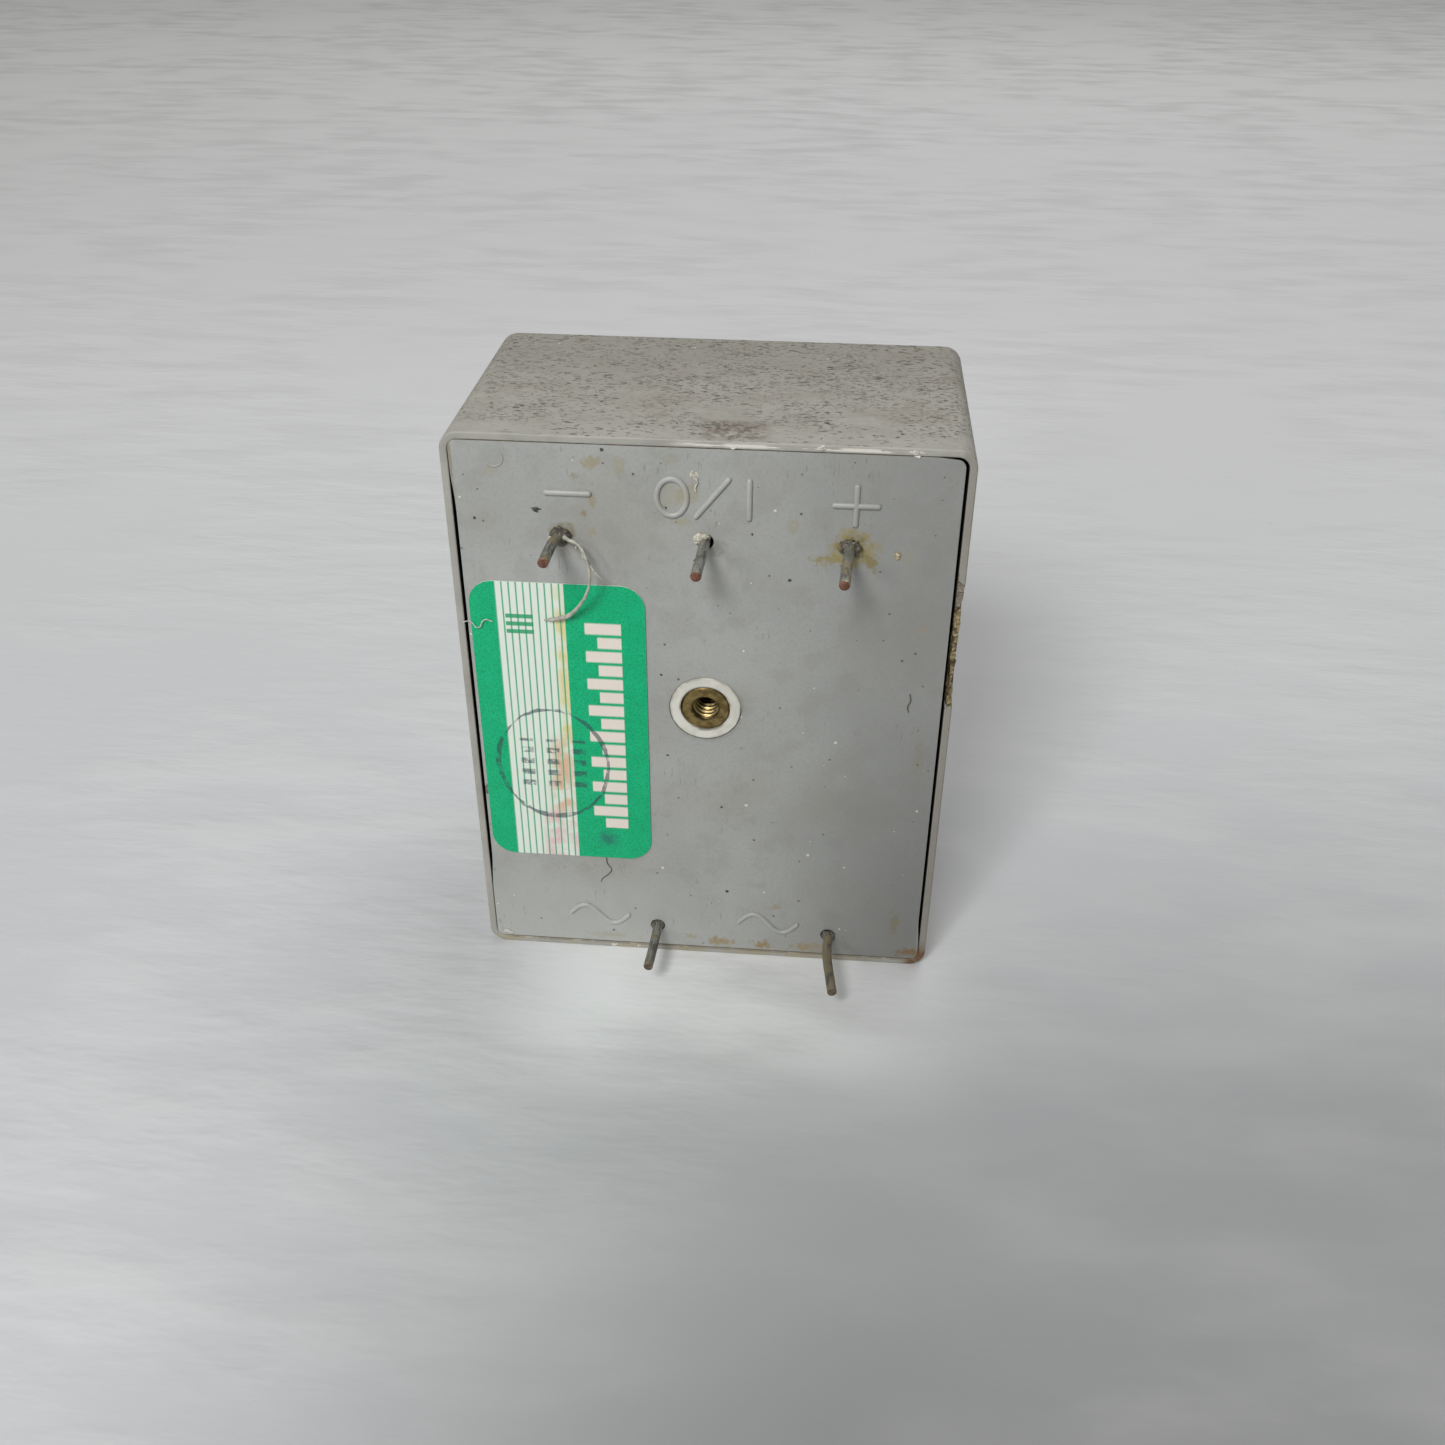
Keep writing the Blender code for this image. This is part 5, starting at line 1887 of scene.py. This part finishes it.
@dataclass
class Insert:
    """The brass insert with its thread, in its nylon cup. Sizes in millimetres."""

    middle: Place = (0.0, 30.48)
    radius: float = 2.25
    length: float = 7.6
    bore_depth: float = 6.6
    thread_pitch: float = 0.635
    thread_root: float = 1.42
    thread_crest: float = 1.12
    mouth: float = 1.22
    cup_radius: float = 3.35
    cup_inner: float = 2.33
    cup_length: float = 9.0
    brass: TurnedBrass = TurnedBrass("turned_brass", "brass")
    nylon: NaturalNylon = NaturalNylon("natural_nylon", "nylon")

    def insert(self) -> Shape:
        """The turned body, bored to the thread's root and drawn in at its mouth.

        Returns:
            Its shape.
        """
        end, bore = FACE_Y + self.length, FACE_Y + self.bore_depth
        root = self.thread_root
        return spun(
            [
                (0, bore + 0.5), (root, bore), (root, FACE_Y + 0.36),
                (self.mouth, FACE_Y + 0.14), (self.mouth + 0.08, FACE_Y),
                (self.radius - 0.1, FACE_Y), (self.radius, FACE_Y + 0.1),
                (self.radius, end), (0, end),
            ],
            self.middle, 64,
        )

    def thread(self) -> Shape:
        """The thread's ridge, wound down the bore.

        Returns:
            Its shape.
        """
        shape = bmesh.new()
        x, z = self.middle
        half = self.thread_pitch / 2
        profile = [
            (self.thread_root + 0.03, -half * 0.85), (self.thread_crest, -half * 0.18),
            (self.thread_crest, half * 0.18), (self.thread_root + 0.03, half * 0.85),
        ]
        start = FACE_Y + 0.3 + half
        corners = [shape.verts.new(Vector((x + r, start + y, z)) * MM) for r, y in profile]
        for pair in zip(corners, corners[1:] + corners[:1]):
            shape.edges.new(pair)
        first = shape.edges[:]
        turns = int((self.bore_depth - 0.9) / self.thread_pitch)
        steps_per_turn = 40
        made = bmesh.ops.spin(
            shape,
            geom=shape.verts[:] + shape.edges[:],
            cent=Vector((x, 0, z)) * MM,
            axis=(0, 1, 0),
            dvec=(0, self.thread_pitch / steps_per_turn * MM, 0),
            angle=math.tau * turns,
            steps=steps_per_turn * turns,
        )
        last = [item for item in made["geom_last"] if isinstance(item, bmesh.types.BMEdge)]
        for loop in (first, last):
            bmesh.ops.contextual_create(shape, geom=loop)
        bmesh.ops.recalc_face_normals(shape, faces=shape.faces)
        return shape

    def cup(self) -> Shape:
        """The nylon cup, its mouth trimmed by hand so that its outline is uneven.

        Returns:
            Its shape.
        """
        floor = FACE_Y + self.length + 0.1
        end = FACE_Y + self.cup_length
        shape = spun(
            [
                (0, floor), (self.cup_inner, floor), (self.cup_inner, FACE_Y + 0.04),
                (self.cup_inner + 0.05, FACE_Y - 0.03), (self.cup_radius - 0.08, FACE_Y - 0.04),
                (self.cup_radius, FACE_Y + 0.05), (self.cup_radius, end), (0, end),
            ],
            self.middle, 72,
        )
        roughen(shape, 0.035, 1.3, 2.0)
        return shape

    def build(self) -> None:
        """Makes the insert and its cup."""
        whole = merged([self.insert(), self.thread()])
        settle("brass_insert", whole, [self.brass], ["threaded_insert"])
        settle("nylon_cup", self.cup(), [self.nylon], ["insert_sleeve"])


@dataclass
class Label:
    """The paper label. Sizes in millimetres."""

    corner: float = 2.3
    finish: PrintedLabel = PrintedLabel("printed_paper", "label_paper")

    def build(self) -> None:
        """Makes the label."""
        low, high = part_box("paper_label")
        shape = block(low / MM, high / MM)
        soften(shape, [e for e in shape.edges if runs_along(e, Axis.Y)], self.corner, 16)
        settle("printed_label", shape, [self.finish], ["paper_label"])


@dataclass
class GlueString:
    """The string of glue that hangs from the minus pin and lies down on the label."""

    finish: DriedGlue = DriedGlue("dried_glue", "nylon")
    seed: int = 4

    def strand(self, points: Sequence[Point], radii: Sequence[float]) -> Shape:
        """One strand.

        Args:
            points: (x, distance from the plate's face, z).
            radii: its radius at each point.
        Returns:
            The strand, lumpy as glue dries.
        """
        path = [(x, FACE_Y - off, z) for x, off, z in points]
        shape = swept(path, radii, 12)
        roughen(shape, 0.07, 0.6, 3.0)
        return shape

    def build(self) -> None:
        """Makes the string and its torn branch."""
        main = self.strand(
            [
                (-12.5, 0.5, 48.0), (-11.9, 0.9, 47.9), (-10.9, 1.3, 47.5), (-10.2, 1.9, 46.4),
                (-9.95, 2.3, 44.6), (-10.35, 2.1, 43.2), (-11.1, 1.5, 41.8), (-12.5, 0.7, 40.1),
                (-13.6, 0.4, 39.6), (-14.7, 0.3, 39.4),
            ],
            [0.18, 0.17, 0.15, 0.14, 0.14, 0.14, 0.15, 0.2, 0.23, 0.1],
        )
        branch = self.strand(
            [(-10.6, 1.6, 47.0), (-9.9, 1.9, 45.9), (-9.2, 2.1, 45.1), (-8.7, 2.0, 44.6)],
            [0.13, 0.1, 0.07, 0.03],
        )
        crumbs = []
        rng = random.Random(self.seed)
        for x, off, z in ((-11.9, 0.7, 47.7), (-11.2, 1.2, 47.3), (-10.5, 1.6, 46.6)):
            crumb = bmesh.new()
            bmesh.ops.create_icosphere(crumb, subdivisions=3, radius=rng.uniform(0.16, 0.24) * MM)
            middle = Vector((x, FACE_Y - off, z)) * MM
            bmesh.ops.translate(crumb, vec=middle, verts=crumb.verts)
            roughen(crumb, 0.14, 0.3, x)
            crumbs.append(crumb)
        settle("glue_string", merged([main, branch, *crumbs]), [self.finish], crease=60)


@dataclass
class Litter:
    """Fibres and crumbs caught on the relay. Sizes in millimetres."""

    white: Residue = Residue(
        "white_paint_crumb", "nylon", "#D2CFC6", "#A8A497", "#EAE8E1", 0.3, 0.6
    )
    dark: Residue = Residue(
        "dark_fibre", "resin", "#5C554B", "#3D3832", "#7A7265", 0.3, 0.7
    )
    crumbs: tuple[tuple[float, float, float, float], ...] = (
        (17.55, -13.75, 56.75, 0.3), (17.8, -13.7, 56.4, 0.22), (9.8, -13.8, 56.9, 0.28),
        (10.3, -13.7, 56.8, 0.2), (-20.9, -13.8, 1.25, 0.34), (-9.6, -13.75, 0.35, 0.3),
        (-7.0, -13.75, 0.3, 0.2), (2.4, -13.8, 56.6, 0.18), (-1.5, -13.7, 56.9, 0.2),
    )

    def fibre(self, places: Sequence[Point], radius: float) -> Shape:
        """A fibre that lies on the plate.

        Args:
            places: (x, distance from the plate's face, z) of its points.
            radius: its radius.
        Returns:
            The fibre.
        """
        path = [(x, FACE_Y - off, z) for x, off, z in places]
        return swept(path, [radius] * len(path), 8)

    def build(self) -> None:
        """Makes the fibres and crumbs."""
        lumps = []
        for x, y, z, radius in self.crumbs:
            lump = bmesh.new()
            bmesh.ops.create_icosphere(lump, subdivisions=3, radius=radius * MM)
            bmesh.ops.scale(lump, vec=(1.3, 0.5, 0.7), verts=lump.verts)
            bmesh.ops.translate(lump, vec=Vector((x, y, z)) * MM, verts=lump.verts)
            roughen(lump, radius * 0.6, radius, x + z)
            lumps.append(lump)
        lumps.append(
            self.fibre(
                [(-22.3, 0.15, 38.7), (-21.6, 0.25, 38.9), (-20.9, 0.35, 38.3), (-20.2, 0.4, 39.2),
                 (-19.5, 0.3, 39.0)], 0.05,
            )
        )
        lumps.append(
            self.fibre(
                [(-0.8, 0.1, 53.8), (-0.65, 0.12, 53.4), (-0.85, 0.1, 52.9), (-0.8, 0.08, 52.5)],
                0.07,
            )
        )
        settle("paint_crumbs", merged(lumps), [self.white], crease=60)
        hair = self.fibre(
            [(-10.05, 0.1, 12.3), (-10.0, 0.06, 11.2), (-9.6, 0.06, 10.5), (-9.9, 0.06, 9.9),
             (-10.6, 0.06, 9.2), (-10.75, 0.05, 8.8)], 0.045,
        )
        lint = self.fibre(
            [(18.9, 0.08, 33.2), (19.0, 0.1, 32.4), (18.8, 0.08, 31.9), (18.9, 0.06, 31.2)], 0.05
        )
        settle("dark_fibres", merged([hair, lint]), [self.dark], crease=60)


@dataclass
class Inside:
    """The cast-in pieces, which keep their CAD solids. Sizes in millimetres."""

    board_back_y: float = -8.2
    axial_rise: float = 0.5
    axial_overhang: float = 1.4
    leg_reach: float = 0.65

    def paint(self, node: str, finish: Finish) -> None:
        """Gives a CAD node its finish.

        Args:
            node: the CAD node.
            finish: its finish.
        """
        slots = frame["nodes"][node].data.materials
        slots.clear()
        slots.append(finish.material())
        LOG.info("%s: %s", node, finish.name)

    def box(self, node: str) -> tuple[Vector, Vector]:
        """The box that a CAD node fills.

        Args:
            node: the CAD node.
        Returns:
            Its lowest and its highest corner, in millimetres.
        """
        low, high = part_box(node)
        return low / MM, high / MM

    def lying(self, node: str, slot: str, base: str, shade: str, rings: Sequence[str]) -> None:
        """Finishes a component that lies on the board: a body between two bent leads.

        Args:
            node: the CAD node.
            slot: its material slot.
            base: the body's colour.
            shade: its darker patches' colour.
            rings: the colours of the rings round it, from its low end.
        """
        low, high = self.box(node)
        along = Axis.X if high.x - low.x > high.z - low.z else Axis.Z
        radius = (high.y - self.board_back_y - self.axial_rise) / 2
        end = self.axial_overhang + 0.25
        body_low, body_high = low.copy(), high.copy()
        body_low[along.value] += end
        body_high[along.value] -= end
        body_low.y = high.y - 2 * radius - 0.05
        body_high.y += 0.1
        length = body_high[along.value] - body_low[along.value]
        step = length / (len(rings) + 1)
        placed = tuple(
            (body_low[along.value] + step * turn, colour) for turn, colour in enumerate(rings, 1)
        )
        self.paint(
            node,
            ComponentCoat(
                f"coat_{node}", slot, tuple(body_low), tuple(body_high),
                base, shade, 0.4, along, placed, 0.12 * length,
            ),
        )

    def standing(
        self, node: str, slot: str, base: str, shade: str, lift: float, rough: float
    ) -> None:
        """Finishes a component that stands on its leads.

        Args:
            node: the CAD node.
            slot: its material slot.
            base: the body's colour.
            shade: its darker patches' colour.
            lift: how far the body is above the board.
            rough: its roughness.
        """
        low, high = self.box(node)
        body_low = Vector((low.x - 1, self.board_back_y + lift, low.z - 1))
        body_high = high + Vector((1, 1, 1))
        body = (tuple(body_low), tuple(body_high))
        self.paint(node, ComponentCoat(f"coat_{node}", slot, *body, base, shade, rough))

    def build(self) -> None:
        """Finishes every CAD node that stays."""
        pins = BasePlate().pin_places
        resin = CastResin("sand_filled_resin", "resin")
        for node in ("resin_block", "resin_cover"):
            self.paint(node, resin)
        self.paint("circuit_board", PaperLaminate("paper_laminate", "board_laminate", pins))
        solder = RolledMetal("dull_solder", "solder", "#A2A39F", "#8E8F8A", "#76776F", 0.5, 0.4)
        for node in frame["nodes"]:
            if node.startswith("solder_"):
                self.paint(node, solder)
        aluminium = RolledMetal("rolled_aluminium", "aluminium")
        for node in ("heat_spreader", "tab_rivet", "triac_tab"):
            self.paint(node, aluminium)
        lead = RolledMetal(
            "tinned_lead", "tinned_copper", "#A5A6A2", "#8F908C", "#7A7B74", 0.12, 0.35
        )
        for node in ("triac_lead_main_1", "triac_lead_main_2", "triac_lead_gate"):
            self.paint(node, lead)
        brown, black, red, gold = "#5A3A22", "#1C1A19", "#8E2A22", "#A88B3E"
        yellow, orange, violet, grey = "#C9A93A", "#B8632C", "#5C4276", "#77777A"
        for node, rings in {
            "gate_resistor": (brown, black, red, gold),
            "bias_resistor": (yellow, violet, orange, gold),
            "timing_resistor": (red, red, yellow, gold),
            "input_resistor": (orange, grey, brown, gold),
            "snubber_resistor": (yellow, violet, black, gold),
        }.items():
            self.lying(node, "resistor_enamel", "#B79E76", "#A28860", rings)
        self.lying("input_diode", "moulded_epoxy", "#232323", "#191919", ("#A9A9A6",))
        self.lying("zener_diode", "glass_body", "#A85632", "#8A3F20", ("#1B1B1B",))
        self.standing("snubber_capacitor", "capacitor_film", "#B5872A", "#9C7120", 0.2, 0.35)
        self.standing("line_varistor", "ceramic_coating", "#3C6FA8", "#2F5C8F", 1.2, 0.35)
        self.standing("bypass_capacitor", "resistor_enamel", "#B58A4C", "#9A7238", 1.0, 0.45)
        self.standing("timing_capacitor", "capacitor_sleeve", "#26324A", "#1D2739", 0.2, 0.3)
        self.standing("control_transistor", "moulded_epoxy", "#222222", "#181818", 2.9, 0.5)
        self.standing("triac_body", "moulded_epoxy", "#242424", "#1A1A1A", 0.0, 0.55)
        low, high = self.box("optocoupler")
        body_low = (low.x - 1, self.board_back_y + 0.7, low.z + self.leg_reach)
        body_high = (high.x + 1, high.y + 1, high.z - self.leg_reach)
        self.paint(
            "optocoupler",
            ComponentCoat(
                "coat_optocoupler", "moulded_epoxy", body_low, body_high, "#252525", "#1B1B1B", 0.5
            ),
        )


@dataclass(frozen=True)
class SoftBox:
    """A square lamp, with its place and side in millimetres and its power in watts."""

    name: str
    place: Point
    side: float
    watts: float

    def build(self, aim: Point) -> None:
        """Hangs the lamp.

        Args:
            aim: the point that it faces.
        """
        data = bpy.data.lights.new(self.name, "AREA")
        data.shape = "SQUARE"
        data.size = self.side * MM
        data.energy = self.watts
        lamp = bpy.data.objects.new(self.name, data)
        lamp.location = Vector(self.place) * MM
        way = Vector(aim) - Vector(self.place)
        lamp.rotation_euler = way.to_track_quat("-Z", "Y").to_euler()
        bpy.context.scene.collection.objects.link(lamp)


@dataclass
class Studio:
    """The floor, the lights and the camera. Sizes in millimetres, angles in degrees."""

    camera_place: Point = (10.497, -126.678, 103.271)
    azimuth: float = 4.4925
    elevation: float = 33.242
    roll: float = 0.391
    lens: float = 35.752
    sensor: float = 36.0
    floor_reach: float = 3000.0
    floor_finish: PaleBoard = PaleBoard("painted_board", "nylon")
    aim: Point = (0, 0, 20)
    lamps: tuple[SoftBox, ...] = (
        SoftBox("front_box", (-120, -410, 425), 160, 2.2),
        SoftBox("top_box", (150, 350, 800), 600, 2.7),
        SoftBox("window", (-520, -900, 390), 200, 1.6),
    )
    card_place: Point = (24, -177, 110)
    card_radius: float = 72.0
    room_colour: str = "#FFFCF6"
    room_strength: float = 0.28

    def floor(self) -> None:
        """The pale board that the relay stands on."""
        shape = bmesh.new()
        bmesh.ops.create_grid(shape, x_segments=1, y_segments=1, size=self.floor_reach * MM)
        mesh = bpy.data.meshes.new("floor")
        shape.to_mesh(mesh)
        shape.free()
        mesh.materials.append(self.floor_finish.material())
        floor = bpy.data.objects.new("floor", mesh)
        bpy.context.scene.collection.objects.link(floor)

    def shade(self) -> None:
        """A black round card that holds a lamp off the foot. The camera doesn't see it."""
        shape = bmesh.new()
        bmesh.ops.create_circle(shape, cap_ends=True, segments=48, radius=self.card_radius * MM)
        mesh = bpy.data.meshes.new("round_card")
        shape.to_mesh(mesh)
        shape.free()
        look = Look("black_card")
        nap = look.cloud(4.0, 0.4, 0.6)
        look.dress(look.layers("#0B0B0B", [(nap, "#141414")]), look.layers(0.9, [(nap, 0.95)]))
        mesh.materials.append(look.material)
        card = bpy.data.objects.new("round_card", mesh)
        card.location = Vector(self.card_place) * MM
        card.visible_camera = False
        bpy.context.scene.collection.objects.link(card)

    def camera(self) -> None:
        """The camera, a little to the right of straight ahead and looking down."""
        a, e, r = (math.radians(v) for v in (self.azimuth, self.elevation, self.roll))
        back = Vector((math.sin(a) * math.cos(e), -math.cos(a) * math.cos(e), math.sin(e)))
        level = Vector((math.cos(a), math.sin(a), 0))
        upright = back.cross(level)
        right = level * math.cos(r) + upright * math.sin(r)
        up = upright * math.cos(r) - level * math.sin(r)
        data = bpy.data.cameras.new("camera")
        data.lens = self.lens
        data.sensor_width = self.sensor
        data.clip_start = MM
        camera = bpy.data.objects.new("camera", data)
        camera.matrix_world = Matrix.Translation(Vector(self.camera_place) * MM) @ Matrix(
            (right, up, back)
        ).transposed().to_4x4()
        bpy.context.scene.collection.objects.link(camera)
        bpy.context.scene.camera = camera

    def build(self) -> None:
        """Sets the studio up."""
        self.floor()
        self.camera()
        for lamp in self.lamps:
            lamp.build(self.aim)
        self.shade()
        world = bpy.data.worlds.new("room")
        world.use_nodes = True
        background = world.node_tree.nodes["Background"]
        background.inputs["Color"].default_value = linear(self.room_colour)
        background.inputs["Strength"].default_value = self.room_strength
        bpy.context.scene.world = world
        bpy.context.scene.view_settings.view_transform = "Standard"


def clear_stage() -> None:
    """Removes the cube, lamp and camera that a new scene starts with."""
    for name in ("Cube", "Light", "Camera"):
        thing = bpy.data.objects.get(name)
        if thing is not None:
            bpy.data.objects.remove(thing)


def write_sizes() -> None:
    """Updates the view layer."""
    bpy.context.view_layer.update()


def main() -> None:
    """Builds the relay and its studio."""
    logging.basicConfig(level=logging.INFO, format="%(name)s: %(message)s")
    clear_stage()
    parts = (
        Studio(), Case(), BasePlate(), Pins(), Insert(), Label(), GlueString(), Litter(), Inside()
    )
    for part in parts:
        part.build()
    write_sizes()


if __name__ == "__main__":
    main()
